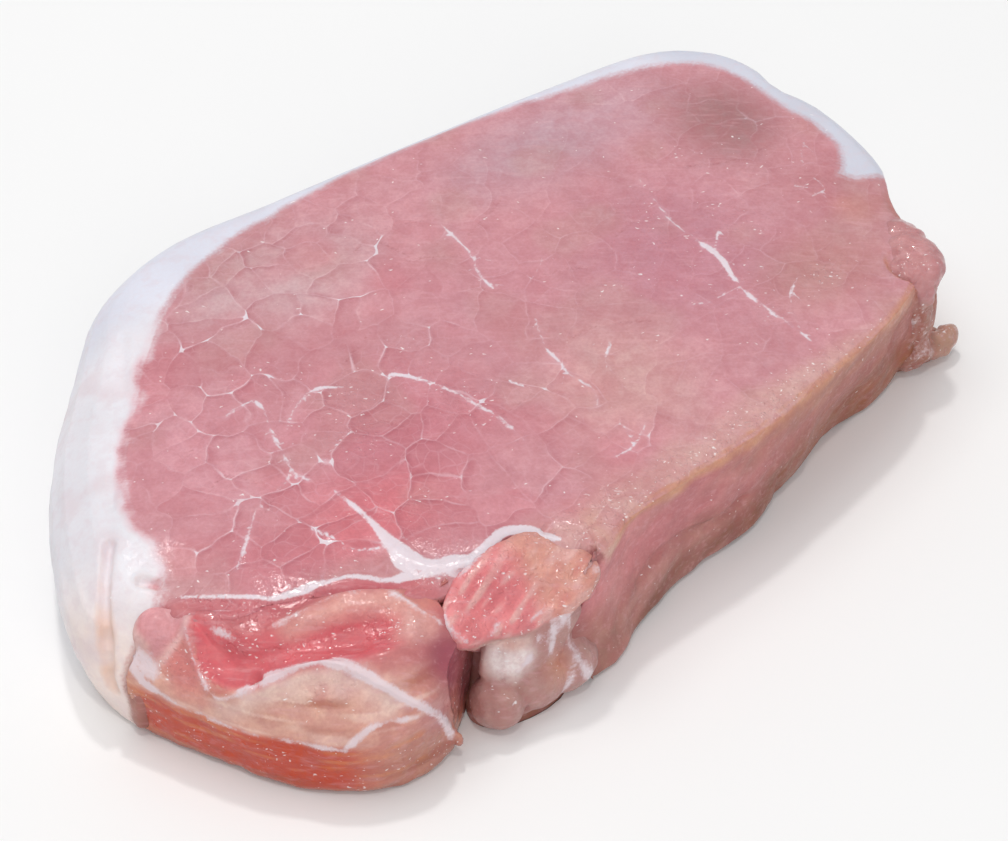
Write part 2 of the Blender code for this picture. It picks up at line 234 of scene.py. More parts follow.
# The hanging trim's two slabs: outlines with their heights.
TONGUE = ((-27, -32.8, 22.2), (-32, -34.3, 21.4), (-35.2, -36.8, 19.6), (-35.2, -40, 18),
          (-33, -41.5, 17), (-28, -42, 16.5), (-22, -43.5, 17), (-18.5, -44.5, 18),
          (-13, -43.5, 20), (-12.5, -40, 21), (-15, -36, 21.5), (-17.5, -33, 22.3),
          (-22, -32.5, 22.5))
STRIP = ((-30, -40.5, 15.5), (-24, -42.5, 16), (-24, -43.6, 14), (-27, -43.6, 10.5),
         (-31, -43, 8), (-32, -42, 9.5), (-31, -41, 13))
TONGUE_THICK = 2.6
STRIP_THICK = 1.7
DOMING = 1.0            # how far the middle of a slab stands up
DOME_REACH = 3.0        # and how far from its rim it gets there
SLAB_CUTS = 5
# Streaks of fat down the front of the trim, seen from in front: across, height, half width.
FRONT_STREAKS = (
    ((-20.5, 16.5, 1.5), (-21.4, 13.5, 1.2), (-22.6, 11, 0.6), (-23.8, 9.6, 0.2)),
    ((-18.8, 16, 0.3), (-18.8, 11, 0.5), (-18.2, 6.8, 1.1), (-16.8, 3.6, 1.2)),
    ((-18.8, 8, 0.4), (-20, 5.4, 0.6), (-21.6, 2.6, 0.3)),
    ((-24, 14.4, 0.4), (-25.6, 12.2, 0.6), (-27.6, 10, 0.4)),
)
# Lines of pale fat and film drawn on the tongue.
TONGUE_LINES = (
    ((-26, -33, 22.4, 0.4), (-32, -34.9, 21.2, 0.5), (-35.2, -38, 18.8, 0.5), (-34, -41, 17.2, 0.5)),
    ((-26.4, -36, 20.4, 0.3), (-28.4, -36.8, 19.8, 0.4), (-30, -40, 18, 0.3)),
    ((-28, -40.7, 17.4, 0.4), (-30.6, -42, 16.6, 0.4)),
    ((-23.5, -40, 18.7, 0.3), (-26.6, -40.5, 17.8, 0.3)),
    ((-24, -40.7, 18.2, 0.35), (-21.6, -42.4, 17.8, 0.4), (-24.5, -43, 17, 0.35)),
    ((-12.6, -39.7, 20.9, 0.3), (-14.8, -39.2, 20.6, 0.3)),
    ((-18.5, -43.4, 18.4, 0.6), (-17.8, -43.3, 18.6, 0.6)),
    ((-14, -42.9, 19.9, 0.6), (-13.3, -42.8, 20, 0.6)),
)
KNOB_CREASE = ((-26.9, -44.2, 8), (-27.2, -45.6, 5), (-27.8, -46.4, 2))
CHUNK_GROOVE = ((-30, -43.6, 8.6), (-27, -44.2, 8), (-23, -44.6, 8.4))
SCRAP_CREASES = (((60, -26, 19), (61.5, -26.5, 12), (61, -26, 6)),
                 ((64.5, -26, 18.5), (65.5, -25.8, 12), (66, -25.6, 6)))
WALL_CREASE = ((-3, -41, 8.5), (1, -39.8, 10.5), (6.5, -38.6, 10), (12, -38, 8.5), (18.5, -37.4, 9))
WALL_STEP = ((24, -34.5, 17), (25, -34.4, 12), (27, -33.8, 6), (28.5, -33.4, 2))
WALL_PIT = (-12.4, -41.6, 20.6)

# ---------------------------------------------------------------- tints, as linear colours
LEAN = (0.66, 0.33, 0.365)
FAT = (0.81, 0.79, 0.84)
VEIN_FAT = (0.80, 0.71, 0.77)
MAUVE = (0.56, 0.20, 0.21)
WALL_PINK = (0.60, 0.30, 0.27)
# painted shade with a warm painted bounce light, low on the side wall
LOW_WALL_SHADE_AND_BOUNCE = (0.25, 0.105, 0.065)
BROWN = (0.32, 0.11, 0.045)
RIM_ORANGE = (0.68, 0.31, 0.12)
RIM_TAN = (0.52, 0.25, 0.16)
RIM_PINK = (0.69, 0.43, 0.38)
BOWL_RED = (0.70, 0.125, 0.145)
SALMON = (0.76, 0.43, 0.34)
BAND_ORANGE = (0.56, 0.05, 0.004)
SIDE_RED = (0.58, 0.17, 0.17)
FOLD_PEACH = (0.72, 0.34, 0.27)
# Tints of the slice and its fat.
PALE_BLUSH = (0.58, 0.34, 0.33)
RED_BLUSH = (0.66, 0.20, 0.24)
SEAM_RED = (0.58, 0.14, 0.16)
HEEL_CREAM = (0.94, 0.78, 0.71)
BACK_FAT = (0.70, 0.71, 0.81)
HOOK_FAT = (0.58, 0.60, 0.70)
FAT_BLUSH = (0.76, 0.48, 0.53)
FAT_SHADE = (0.74, 0.62, 0.66)
RIDGE_CREAM = (0.76, 0.50, 0.38)
SLIT_EDGE = (0.80, 0.46, 0.30)
# Tints of the side muscle.
LOBE_END = (0.66, 0.31, 0.25)
LOBE_BROWN = (0.50, 0.20, 0.13)
LOBE_CREAM = (0.88, 0.60, 0.50)
BAND_END = (0.52, 0.24, 0.17)
BAND_LIGHT = (0.70, 0.24, 0.07)
BAND_DEEP = (0.34, 0.08, 0.03)
# painted shade at the foot of the lobe, by the floor
FOOT_PAINTED_SHADE = (0.36, 0.13, 0.07)
LIP_GLOW = (0.84, 0.66, 0.58)
BOWL_DEEP = (0.60, 0.09, 0.11)
BOWL_LIGHT = (0.74, 0.28, 0.27)
FOLD_GLOW = (0.80, 0.42, 0.36)
FOLD_END = (0.76, 0.42, 0.38)
SMALL_PINK = (0.76, 0.36, 0.38)
SMALL_RIM = (0.86, 0.62, 0.60)
SIDE_FILM = (0.82, 0.68, 0.70)
# Tints of the hanging trim.
CHUNK_TINT = (0.46, 0.25, 0.22)
KNOB_TINT = (0.40, 0.18, 0.15)
CHUNK_ORANGE = (0.60, 0.24, 0.13)
CHUNK_STREAK = (0.60, 0.40, 0.36)
STRIP_CREAM = (0.94, 0.84, 0.82)
STRIP_TOP = (0.76, 0.42, 0.33)
TONGUE_RED = (0.80, 0.24, 0.25)
TONGUE_DEEP = (0.70, 0.16, 0.18)
TONGUE_FIBRE = (0.82, 0.50, 0.46)
TONGUE_DARK = (0.60, 0.13, 0.14)
TRIM_FILM = (0.80, 0.70, 0.72)
# Tints of the scrap.
SCRAP_BROWN = (0.36, 0.15, 0.10)
SCRAP_TOP = (0.56, 0.27, 0.27)
SCRAP_FOOT = (0.48, 0.28, 0.20)
SCRAP_FILM = (0.72, 0.56, 0.52)
# Tints that the finish itself lays on.
GRAIN_DARK = (0.38, 0.09, 0.11)
MOTTLE_DARK = (0.42, 0.10, 0.12)
FIBRE_PALE = (0.76, 0.44, 0.47)
BUNDLE_DARK = (0.46, 0.12, 0.15)
# painted shade just inside the shaded edge of a bundle
EDGE_PAINTED_SHADE = (0.38, 0.08, 0.11)
EDGE_PALE = (0.80, 0.56, 0.62)
SMALL_EDGE_PALE = (0.76, 0.48, 0.54)
HALO_PINK = (0.76, 0.50, 0.57)
# painted shade in creases and pits of the lean
LEAN_PAINTED_SHADE = (0.28, 0.05, 0.06)
FAT_GRAIN = (0.70, 0.52, 0.55)
FAT_MOTTLE = (0.70, 0.55, 0.60)
# painted shade in creases and slits of the fat
FAT_PAINTED_SHADE = (0.50, 0.22, 0.13)
# painted glint: the white of small highlights on wet meat
PAINTED_GLINT = (0.95, 0.92, 0.93)

# Soft patches: place, reach along x, y and z, tint, share laid on.
Patch = namedtuple("Patch", "place reach tint share")
FACE_PATCHES = (
    Patch((-20, 30, 23), (20, 12, 12), (0.68, 0.49, 0.51), 0.85),
    Patch((-46, 6, 23), (13, 16, 12), (0.73, 0.36, 0.41), 0.8),
    Patch((-22, -7, 23), (16, 15, 12), (0.60, 0.225, 0.27), 0.9),
    Patch((-34, -19, 23), (14, 9, 12), (0.69, 0.18, 0.21), 0.9),
    Patch((-50, -17, 23), (8, 7, 12), (0.64, 0.20, 0.24), 0.7),
    Patch((5, 8, 23), (15, 16, 12), (0.62, 0.30, 0.345), 0.7),
    Patch((10, -18, 23), (13, 12, 12), (0.72, 0.43, 0.41), 0.8),
    Patch((35, 0, 23), (17, 20, 12), (0.56, 0.25, 0.31), 0.8),
    Patch((36, 32, 23), (24, 10, 12), (0.58, 0.40, 0.46), 0.8),
    Patch((60, 20, 23), (10, 12, 12), (0.35, 0.19, 0.19), 0.85),
    Patch((64, -2, 23), (9, 10, 12), (0.52, 0.22, 0.24), 0.7),
    Patch((51, -16, 23), (13, 9, 12), (0.52, 0.27, 0.25), 0.8),
    Patch((24, -30, 23), (1.4, 1.7, 6), (0.44, 0.18, 0.18), 0.6),
    Patch((70, 11.5, 22), (3, 4, 6), (0.60, 0.30, 0.26), 0.3),
    Patch((63.5, -8, 22), (4, 4, 6), (0.62, 0.23, 0.17), 0.6),
)
SIDE_PATCHES = (
    Patch((-52, -23.5, 22), (10, 4, 6), (0.54, 0.12, 0.14), 0.95),
    Patch((-60, -19, 22), (3.5, 3.6, 6), (0.54, 0.13, 0.15), 0.9),
    Patch((-43, -28, 22), (6, 2.6, 6), (0.56, 0.16, 0.18), 0.8),
    Patch((-35, -33.5, 22), (5, 3, 6), (0.68, 0.26, 0.21), 0.8),
    Patch((-67, -21, 16), (2.8, 6, 6), (0.68, 0.22, 0.20), 0.95),
    # The next two lay painted shadow in the cleft under the hanging trim.
    Patch((-37, -41, 15), (6, 5, 10), (0.36, 0.09, 0.12), 1.0),
    Patch((-33, -40, 8), (4, 5, 9), (0.28, 0.07, 0.08), 0.9),
    Patch((-44, -39.5, 17.5), (4, 3, 4), (0.60, 0.27, 0.25), 0.6),
    Patch((-42, -44.5, 11), (3.5, 3, 4), (0.50, 0.20, 0.20), 0.8),
    Patch((-73.5, -14.5, 8), (2.5, 3.5, 6), (0.66, 0.34, 0.20), 0.9),
)
FUZZY_SPOT = ((-70.5, -17, 14.8), (2.2, 4.6, 3.2))
# Where the meat is wet: its coat shines there and painted glints crowd there: place, reach, how wet.
GLINTS = (
    ((-22, 3, 23), (11, 7, 6), 0.4),
    ((-28, -4, 23), (8, 6, 6), 0.4),
    ((-8, 2, 23), (14, 9, 6), 0.3),
    ((-10, -9, 23), (7, 7, 6), 0.35),
    ((-34, 12, 23), (10, 7, 6), 0.3),
    ((42, 0, 23), (26, 20, 6), 0.3),
    ((50, -18, 23), (9, 5, 6), 0.5),
    ((-52, -24, 21), (9, 3.4, 5), 0.9),
    ((-26, -22, 23), (8, 6, 6), 0.35),
    ((-60, -21, 20), (4, 7, 5), 1.0),
    ((-54, -30, 19), (8, 4, 6), 1.0),
    ((-42, -35, 20), (5, 4, 5), 1.0),
    ((-67, -21, 17), (4, 6, 6), 0.9),
    ((-53, -36, 18), (7, 4, 5), 0.8),
    ((-63, -14, 22), (4, 3, 5), 0.3),
    ((-32, -32.5, 22), (6, 3, 5), 0.8),
)


# ---------------------------------------------------------------- bench tools
def only(piece):
    """Selects one piece and nothing else."""
    bpy.ops.object.select_all(action="DESELECT")
    piece.select_set(True)
    bpy.context.view_layer.objects.active = piece


def settle(piece, kind, **settings):
    """Adds a modifier to the piece and applies it."""
    only(piece)
    modifier = piece.modifiers.new(kind.lower(), kind)
    for name, value in settings.items():
        setattr(modifier, name, value)
    bpy.ops.object.modifier_apply(modifier=modifier.name)


def merged_copy(node):
    """A copy of a solid with its doubles merged, swollen to meet its neighbours."""
    piece = bpy.data.objects.new("cover_" + node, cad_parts[node].data.copy())
    bpy.context.scene.collection.objects.link(piece)
    piece.data.materials.clear()
    only(piece)
    bpy.ops.object.mode_set(mode="EDIT")
    bpy.ops.mesh.select_all(action="SELECT")
    bpy.ops.mesh.remove_doubles(threshold=0.001 * MM)
    bpy.ops.object.mode_set(mode="OBJECT")
    settle(piece, "DISPLACE", strength=OVERLAP * MM, mid_level=0.0)
    return piece


def core_of(node, shift):
    """The slice's own meat behind a loose piece: a copy of its solid, set back."""
    core = merged_copy(node)
    core.data.transform(Matrix.Translation(Vector(shift) * MM))
    return core


def blob(place, halves, turn=(0, 0, 0)):
    """A rounded lump: half lengths along its own axes, turned by degrees."""
    bpy.ops.mesh.primitive_uv_sphere_add(segments=32, ring_count=20, radius=1.0)
    piece = bpy.context.object
    piece.location = Vector(place) * MM
    piece.scale = Vector(halves) * MM
    piece.rotation_euler = Euler([radians(angle) for angle in turn])
    only(piece)
    bpy.ops.object.transform_apply(location=True, rotation=True, scale=True)
    return piece


def roll(route):
    """A soft roll of meat or fat along a route of places and radii."""
    beads = []
    for *place, radius in smooth_route(route, 6):
        bpy.ops.mesh.primitive_ico_sphere_add(subdivisions=2, radius=radius * MM,
                                              location=Vector(place) * MM)
        beads.append(bpy.context.object)
    return beads


def skin_of(*nodes):
    """A search tree over the surfaces of some solids."""
    corners = []
    facets = []
    for node in nodes:
        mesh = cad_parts[node].data
        start = len(corners)
        corners += [point.co.copy() for point in mesh.vertices]
        facets += [[start + index for index in facet.vertices] for facet in mesh.polygons]
    return BVHTree.FromPolygons(corners, facets)


def laid_on(node, route, bury=0.0):
    """A smooth route laid on the nearest spots of a solid's surface, or buried a little there."""
    skin = skin_of(node)
    laid = []
    for x, y, z, width in smooth_route(route, 3):
        spot, normal, _, _ = skin.find_nearest(Vector((x, y, z)) * MM)
        spot = spot / MM - normal * bury * width
        laid.append((*spot, width))
    return laid


def slab(outline, thickness, outward):
    """A flat piece with an uneven outline, domed towards its middle and thickened inwards."""
    axis = int(np.argmax(np.abs(outward)))
    flat = [other for other in range(3) if other != axis]
    rim = smooth_route(outline + outline[:1], 4)[:-1]
    bpy.ops.mesh.primitive_circle_add(vertices=len(rim), radius=1.0, fill_type="TRIFAN")
    piece = bpy.context.object
    hub = min(piece.data.vertices, key=lambda point: point.co.length)
    ring = [point for point in piece.data.vertices if point.index != hub.index]
    for point, place in zip(ring, rim):
        point.co = Vector(place) * MM
    hub.co = Vector(rim.mean(0)) * MM
    only(piece)
    bpy.ops.object.mode_set(mode="EDIT")
    bpy.ops.mesh.select_all(action="SELECT")
    bpy.ops.mesh.subdivide(number_cuts=SLAB_CUTS)
    bpy.ops.object.mode_set(mode="OBJECT")
    for point in piece.data.vertices:
        away = np.linalg.norm(rim[:, flat] - np.array(point.co)[flat] / MM, axis=1)
        pull = 1 / (away ** 2 + 0.3) ** 1.2
        level = (rim[:, axis] @ pull) / pull.sum()
        point.co[axis] = (level + outward[axis] * DOMING * min(away.min() / DOME_REACH, 1.0)) * MM
    only(piece)
    bpy.ops.object.mode_set(mode="EDIT")
    bpy.ops.mesh.select_all(action="SELECT")
    sunk = Vector(outward) * -thickness * MM
    bpy.ops.mesh.extrude_region_move(TRANSFORM_OT_translate={"value": sunk})
    bpy.ops.mesh.select_all(action="SELECT")
    bpy.ops.mesh.normals_make_consistent(inside=False)
    bpy.ops.object.mode_set(mode="OBJECT")
    return piece


def one_skin(name, parts, grid, turns=RELAX_TURNS):
    """Joins the parts under one even skin and relaxes it."""
    bpy.ops.object.select_all(action="DESELECT")
    for part in parts:
        part.select_set(True)
    bpy.context.view_layer.objects.active = parts[0]
    bpy.ops.object.join()
    piece = bpy.context.object
    piece.name = name
    piece.data.name = name
    settle(piece, "REMESH", mode="VOXEL", voxel_size=grid * MM)
    settle(piece, "SMOOTH", factor=0.5, iterations=turns)
    piece.data.shade_smooth()
    return piece


class Clay:
    """The points of a piece in millimetres, and which way each faces."""

    def __init__(self, piece):
        self.mesh = piece.data
        flat = np.empty(len(self.mesh.vertices) * 3, np.float32)
        self.mesh.vertices.foreach_get("co", flat)
        self.at = flat.reshape(-1, 3).astype(float) / MM
        self.look_again()

    def look_again(self):
        """Reads the normals of the shape as it now is."""
        self.mesh.vertices.foreach_set("co", (self.at * MM).astype(np.float32).ravel())
        self.mesh.update()
        flat = np.empty(len(self.mesh.vertices) * 3, np.float32)
        self.mesh.vertex_normals.foreach_get("vector", flat)
        self.out = flat.reshape(-1, 3).astype(float)
        self.faces_up = ramp(0.35, 0.75, self.out[:, 2])

    def push(self, depth):
        """Moves the points along their normals."""
        self.at += self.out * np.asarray(depth)[:, None]

    def hold_inside(self, box):
        """Keeps every point inside a box given in metres."""
        self.at = np.clip(self.at, np.array(box[0]) / MM + HAIR, np.array(box[1]) / MM - HAIR)
        self.look_again()

    def keep_number(self, name, values):
        """Stores one number for each point."""
        layer = self.mesh.attributes.new(name, "FLOAT", "POINT")
        layer.data.foreach_set("value", values.astype(np.float32))

    def keep_tint(self, name, tints):
        """Stores one colour for each point."""
        layer = self.mesh.attributes.new(name, "FLOAT_COLOR", "POINT")
        rgba = np.column_stack([tints, np.ones(len(tints))])
        layer.data.foreach_set("color", rgba.astype(np.float32).ravel())


# ---------------------------------------------------------------- fields
def ramp(low, high, values):
    """0 below low, 1 above high and eased between; low may be the larger."""
    share = np.clip((values - low) / (high - low), 0.0, 1.0)
    return share * share * (3 - 2 * share)


def smooth_route(points, steps=4):
    """A smooth curve through a few points."""
    points = np.array(points, float)
    if len(points) == 2:
        return points
    last = len(points) - 1
    curve = []
    for span in range(last):
        a, b, c, d = (points[min(max(span + k, 0), last)] for k in (-1, 0, 1, 2))
        for t in np.arange(steps) / steps:
            curve.append((2 * b + (c - a) * t + (2 * a - 5 * b + 4 * c - d) * t ** 2
                          + (3 * b - a - 3 * c + d) * t ** 3) / 2)
    curve.append(points[-1])
    return np.array(curve)


def along_route(at, points, reach, wide=False):
    """Distance of each point from a route, how far along it that is, and the route's own
    half width there if its points end with one. A route given by pairs is followed in plan.
    Points out of reach get the reach itself."""
    curve = smooth_route(points)
    widths = curve[:, -1] if wide else np.zeros(len(curve))
    curve = curve[:, :-1] if wide else curve
    spots = at[:, :curve.shape[1]]
    gap = np.full(len(spots), float(reach))
    run = np.zeros(len(spots))
    width = np.zeros(len(spots))
    near = np.all((spots > curve.min(0) - reach) & (spots < curve.max(0) + reach), axis=1)
    close = spots[near]
    best, best_run, best_width = gap[near], run[near], width[near]
    gone = 0.0
    for start, end, wide_at, wide_to in zip(curve, curve[1:], widths, widths[1:]):
        leg = end - start
        length = max(np.linalg.norm(leg), 1e-6)
        share = np.clip((close - start) @ leg / length ** 2, 0.0, 1.0)
        away = np.linalg.norm(close - start - share[:, None] * leg, axis=1)
        nearer = away < best
        best[nearer] = away[nearer]
        best_run[nearer] = gone + share[nearer] * length
        best_width[nearer] = wide_at + share[nearer] * (wide_to - wide_at)
        gone += length
    gap[near], run[near], width[near] = best, best_run, best_width
    return gap, run, width


def inside(at, corners):
    """Whether each point lies inside a closed outline, in plan."""
    x, y = at[:, 0], at[:, 1]
    within = np.zeros(len(at), bool)
    ring = np.vstack([smooth_route(corners), corners[0]])
    for (ax, ay), (bx, by) in zip(ring, ring[1:]):
        if ay == by:
            continue
        crosses = (ay > y) != (by > y)
        within ^= crosses & (x < (bx - ax) * (y - ay) / (by - ay) + ax)
    return within


def depth_in(at, corners, reach):
    """How deep a point lies inside an outline; negative outside."""
    gap = along_route(at, corners + corners[:1], reach)[0]
    return np.where(inside(at, corners), gap, -gap)


def lumps(at, size, seed):
    """Soft noise from -1 to 1 whose lumps are about the given size."""
    spot = at / size + seed * 17.31
    cell = np.floor(spot).astype(np.int64)
    part = spot - cell
    part = part * part * (3 - 2 * part)
    total = np.zeros(len(at))
    for corner in range(8):
        step = np.array([corner & 1, corner >> 1 & 1, corner >> 2 & 1])
        key = (cell + step) @ np.array([374761393, 668265263, 1274126177])
        key = (key ^ key >> 13) * 1103515245 & 0xFFFFFFFF
        key = (key ^ key >> 16) * 60493 & 0xFFFFFFFF
        weight = np.prod(np.where(step, part, 1 - part), axis=1)
        total += weight * ((key >> 8 & 0xFFFF) / 32767.5 - 1)
    return total


def strands(at, way, size, stretch, seed):
    """Soft noise drawn out along a direction, as fibres are."""
    way = np.array(way, float) / np.linalg.norm(way)
    along = at @ way
    return lumps(at - (1 - 1 / stretch) * along[:, None] * way, size, seed)


def flow(at, route, size, stretch, seed):
    """Soft noise drawn out along a route and all lines beside it."""
    gap, run, _ = along_route(at, route, 30.0)
    return lumps(np.column_stack([run / stretch, gap, 0.3 * at[:, 2]]), size, seed)


def ridge(at, points, width, wide=False):
    """1 along a route, easing to 0 at its width."""
    gap = along_route(at, points, width * 1.5, wide)[0]
    return ramp(width, 0.0, gap)


def soft_line(at, points, blur=0.5, swell=1.0):
    """An uneven line drawn by its own half widths: 0.5 at its edges, more inside them."""
    widest = max(point[-1] for point in points) * swell
    gap, _, width = along_route(at, points, 1.5 * widest + blur, wide=True)
    near = gap < 1.5 * widest + blur
    uneven = np.ones(len(at))
    spots = np.column_stack([at[near], at[near, :3 - at.shape[1]]]) if at.shape[1] < 3 else at[near]
    uneven[near] += 0.5 * lumps(spots, 2.2, 91)
    return np.where(near, np.clip(0.5 + (swell * width * uneven - gap) / (2 * blur), 0.0, 1.0), 0.0)


def soft_spot(at, place, reach):
    """1 in the middle of a spot, fading out just past its reach."""
    away = np.linalg.norm((at - np.array(place, float)) / np.array(reach, float), axis=1)
    return ramp(1.35, 0.2, away)


# ---------------------------------------------------------------- shaping
def shape_face(clay):
    """The cut face: a little uneven, rougher by the front rim, veins proud, creases sunk."""
    at = clay.at
    high = clay.faces_up * ramp(12.0, 18.0, at[:, 2])
    near_rim = ramp(-24.0, -34.0, at[:, 1] + 0.16 * at[:, 0]) * ramp(-16.0, -6.0, at[:, 0])
    swell = -FACE_DROP + 0.22 * lumps(at, 16.0, 1) + 0.10 * lumps(at, 6.5, 2)
    swell += near_rim * 0.16 * lumps(at, 1.6, 3)
    for vein in VEINS:
        swell += 0.10 * ramp(1.4 * vein.width, 0.0, along_route(at, vein.route, 2.0)[0])
    for points in CREASES:
        swell -= 0.13 * ridge(at, points, 0.9)
    swell += 0.25 * ridge(at, UPPER_SEAM, 1.8, wide=True)
    clay.push(high * swell)


def shape_side_muscle(clay):
    """The side muscle: a hollow bowl between its folds, fibres, wrinkles and a puckered end."""
    at = clay.at
    high = ramp(9.0, 13.0, at[:, 2])
    low = 1 - high
    bowl = ramp(-0.6, 3.2, depth_in(at, BOWL, 8.0)) * high
    clay.push(-1.7 * bowl + 0.10 * bowl * strands(at, (0.8, -0.5, 0), 1.2, 5.0, 13))
    clay.look_again()
    clay.push(-1.0 * soft_spot(at, CURL_PIT, (1.1, 1.1, 1.6)))
    clay.push(-1.1 * soft_spot(at, (-38, -41.5, 15), (5, 4, 6)))
    clay.push(0.35 * lumps(at, 6.0, 14) + 0.14 * lumps(at, 2.4, 15) - 0.25)
    clay.push(low * 0.12 * strands(at, (0.7, -0.55, 0.35), 1.1, 6.0, 16))
    clay.push(0.07 * strands(at, (0.85, -0.5, 0), 0.9, 5.0, 17) * (1 - bowl))
    clay.push(-0.4 * ridge(at, HEEL_CREASE, 0.9))
    clay.push(-0.9 * soft_spot(at, HORN, (1.8, 2.0, 2.5)))


def shape_fat(clay):
    """The fat cap: a furrow and strands along the left, and two slits at its heel."""
    at = clay.at
    left = ramp(-30.0, -40.0, at[:, 0])
    clay.push(-0.4 * left * ridge(at, FURROW, 1.6))
    for slit in (SLIT, SMALL_SLIT):
        gap = along_route(at, laid_on("fat_cap", slit), 3.0, wide=True)[0]
        clay.push(-ramp(1.2, 0.4, gap))
    clay.push(left * (0.20 * lumps(at, 9.0, 5) + 0.06 * strands(at, (0.3, 1, 0), 1.6, 5.0, 6)))


def shape_front(clay):
    """The front wall: an uneven rim, two creases, a pit and fine wrinkles."""
    at = clay.at
    wall = (1 - clay.faces_up) * ramp(-20.0, -28.0, at[:, 1]) * ramp(-24.0, -16.0, at[:, 0])
    clay.push(wall * (0.5 * lumps(at, 8.0, 7) + 0.22 * lumps(at, 3.2, 8) - 0.4))
    clay.push(wall * 0.10 * strands(at, (0.9, 0.2, 0.5), 1.3, 4.0, 9))
    clay.push(-0.9 * ridge(at, WALL_CREASE, 1.5))
    clay.push(-0.6 * ridge(at, WALL_STEP, 1.8))
    clay.push(-0.7 * soft_spot(at, WALL_PIT, (1.3, 1.6, 1.6)))
    rim = ramp(19.5, 22.0, at[:, 2]) * wall
    clay.push(rim * 0.35 * lumps(at, 4.5, 10))


def shape_edges(clay):
    """Small lumps round all the sides, so that no edge runs true."""
    at = clay.at
    side = 1 - clay.faces_up
    low = ramp(0.5, 3.0, at[:, 2])
    clay.push(side * low * (0.12 * lumps(at, 4.0, 11) + 0.07 * lumps(at, 1.8, 12) - 0.1))


def thin_out(piece, chosen, share):
    """Thins the facets whose middle and facing pass the test."""
    only(piece)
    mesh = piece.data
    flat = np.empty(len(mesh.polygons) * 3, np.float32)
    mesh.polygons.foreach_get("center", flat)
    centres = flat.reshape(-1, 3) / MM
    mesh.polygons.foreach_get("normal", flat)
    facing = flat.reshape(-1, 3)
    bpy.ops.object.mode_set(mode="EDIT")
    bpy.ops.mesh.select_all(action="DESELECT")
    bpy.ops.object.mode_set(mode="OBJECT")
    mesh.polygons.foreach_set("select", chosen(centres, facing))
    bpy.ops.object.mode_set(mode="EDIT")
    bpy.ops.mesh.decimate(ratio=share)
    bpy.ops.object.mode_set(mode="OBJECT")


def shape(piece, strokes):
    """Gives the piece its strokes in turn and keeps it inside the box of the solids."""
    clay = Clay(piece)
    for stroke in strokes:
        stroke(clay)
        clay.look_again()
    clay.hold_inside(CAD_BOX)


def shrink(clay):
    """Takes a cover's swelling off again."""
    clay.push(np.full(len(clay.at), -OVERLAP))


def make_chop_body():
    """The loin eye and its fat cap under one skin, with the meat behind the loose pieces."""
    covers = [merged_copy("loin_eye"), merged_copy("fat_cap")]
    covers += [core_of(node, shift) for node, shift in CORES.items()]
    covers += [blob(*lump) for lump in BEDDING]
    covers += roll([(x, y, 22.6 - 0.85 * radius, max(radius, LEAST_ROLL)) for x, y, radius in ARCH])
    for seal in SEALS:
        covers += roll(seal)
    piece = one_skin("chop_body", covers, SLICE_GRID)
    shape(piece, (shrink, shape_face, shape_fat, shape_front, shape_edges))
    thin_out(piece, lambda place, facing: facing[:, 2] < -0.9, UNDERSIDE_KEEP)
    thin_out(piece, lambda place, facing: (facing[:, 1] > 0.5) & (place[:, 2] < 18.0), BACK_KEEP)
    Clay(piece).hold_inside(CAD_BOX)
    return piece


def make_side_muscle():
    """The side muscle under its own skin, with the rolls of its lip and fold and two lumps."""
    covers = [merged_copy("side_muscle")]
    for fold in (LIP, FOLD):
        laid = laid_on("side_muscle", fold, 0.1)
        covers += roll([(x, y, z, max(width, LEAST_ROLL)) for x, y, z, width in laid])
    covers += [blob(*lump) for lump in SIDE_LUMPS]
    piece = one_skin("side_muscle_folds", covers, FOLD_GRID)
    shape(piece, (shrink, shape_side_muscle))
    thin_out(piece, lambda place, facing: facing[:, 2] < -0.9, UNDERSIDE_KEEP)
    Clay(piece).hold_inside(CAD_BOX)
    return piece


def shape_trim(clay):
    """An uneven skin with fibres, a crease beside the knob and a groove over the chunk."""
    at = clay.at
    clay.push(0.26 * lumps(at, 3.2, 21) + 0.10 * lumps(at, 1.4, 22))
    clay.push(-0.7 * ridge(at, KNOB_CREASE, 1.0))
    clay.push(-0.5 * ridge(at, CHUNK_GROOVE, 0.9))
    clay.push(0.10 * strands(at, (0.1, 0.3, 1.0), 1.0, 4.0, 23) * ramp(15.0, 12.0, at[:, 2]))
    clay.push(0.12 * strands(at, (0.9, 0.4, 0.1), 0.9, 7.0, 82) * ramp(15.0, 17.0, at[:, 2]))


def make_hanging_trim():
    """The trim over the cleft: a tongue of meat, a strip of fat and the chunk under them."""
    parts = [slab(TONGUE, TONGUE_THICK, (0, 0, 1)), slab(STRIP, STRIP_THICK, (0, -1, 0))]
    parts += [blob(*lump) for lump in TRIM_LUMPS]
    piece = one_skin("hanging_trim", parts, TRIM_GRID, TRIM_TURNS)
    shape(piece, (shape_trim,))
    return piece


def shape_scrap(clay):
    """Lumps and wrinkles, and creases where the scrap folds over itself."""
    at = clay.at
    calm = 1 - 0.6 * ramp(17.0, 20.0, at[:, 2])
    clay.push(calm * (0.45 * lumps(at, 2.6, 31) + 0.22 * lumps(at, 1.2, 32)))
    clay.push(0.25 * strands(at, (0.1, 0.2, 1.0), 1.3, 4.0, 33))
    for crease in SCRAP_CREASES:
        clay.push(-0.5 * ridge(at, crease, 0.9))


def make_folded_scrap():
    """The scrap folded down at the right end."""
    piece = one_skin("folded_scrap", [blob(*lump) for lump in SCRAP_LUMPS], TRIM_GRID)
    shape(piece, (shape_scrap,))
    return piece


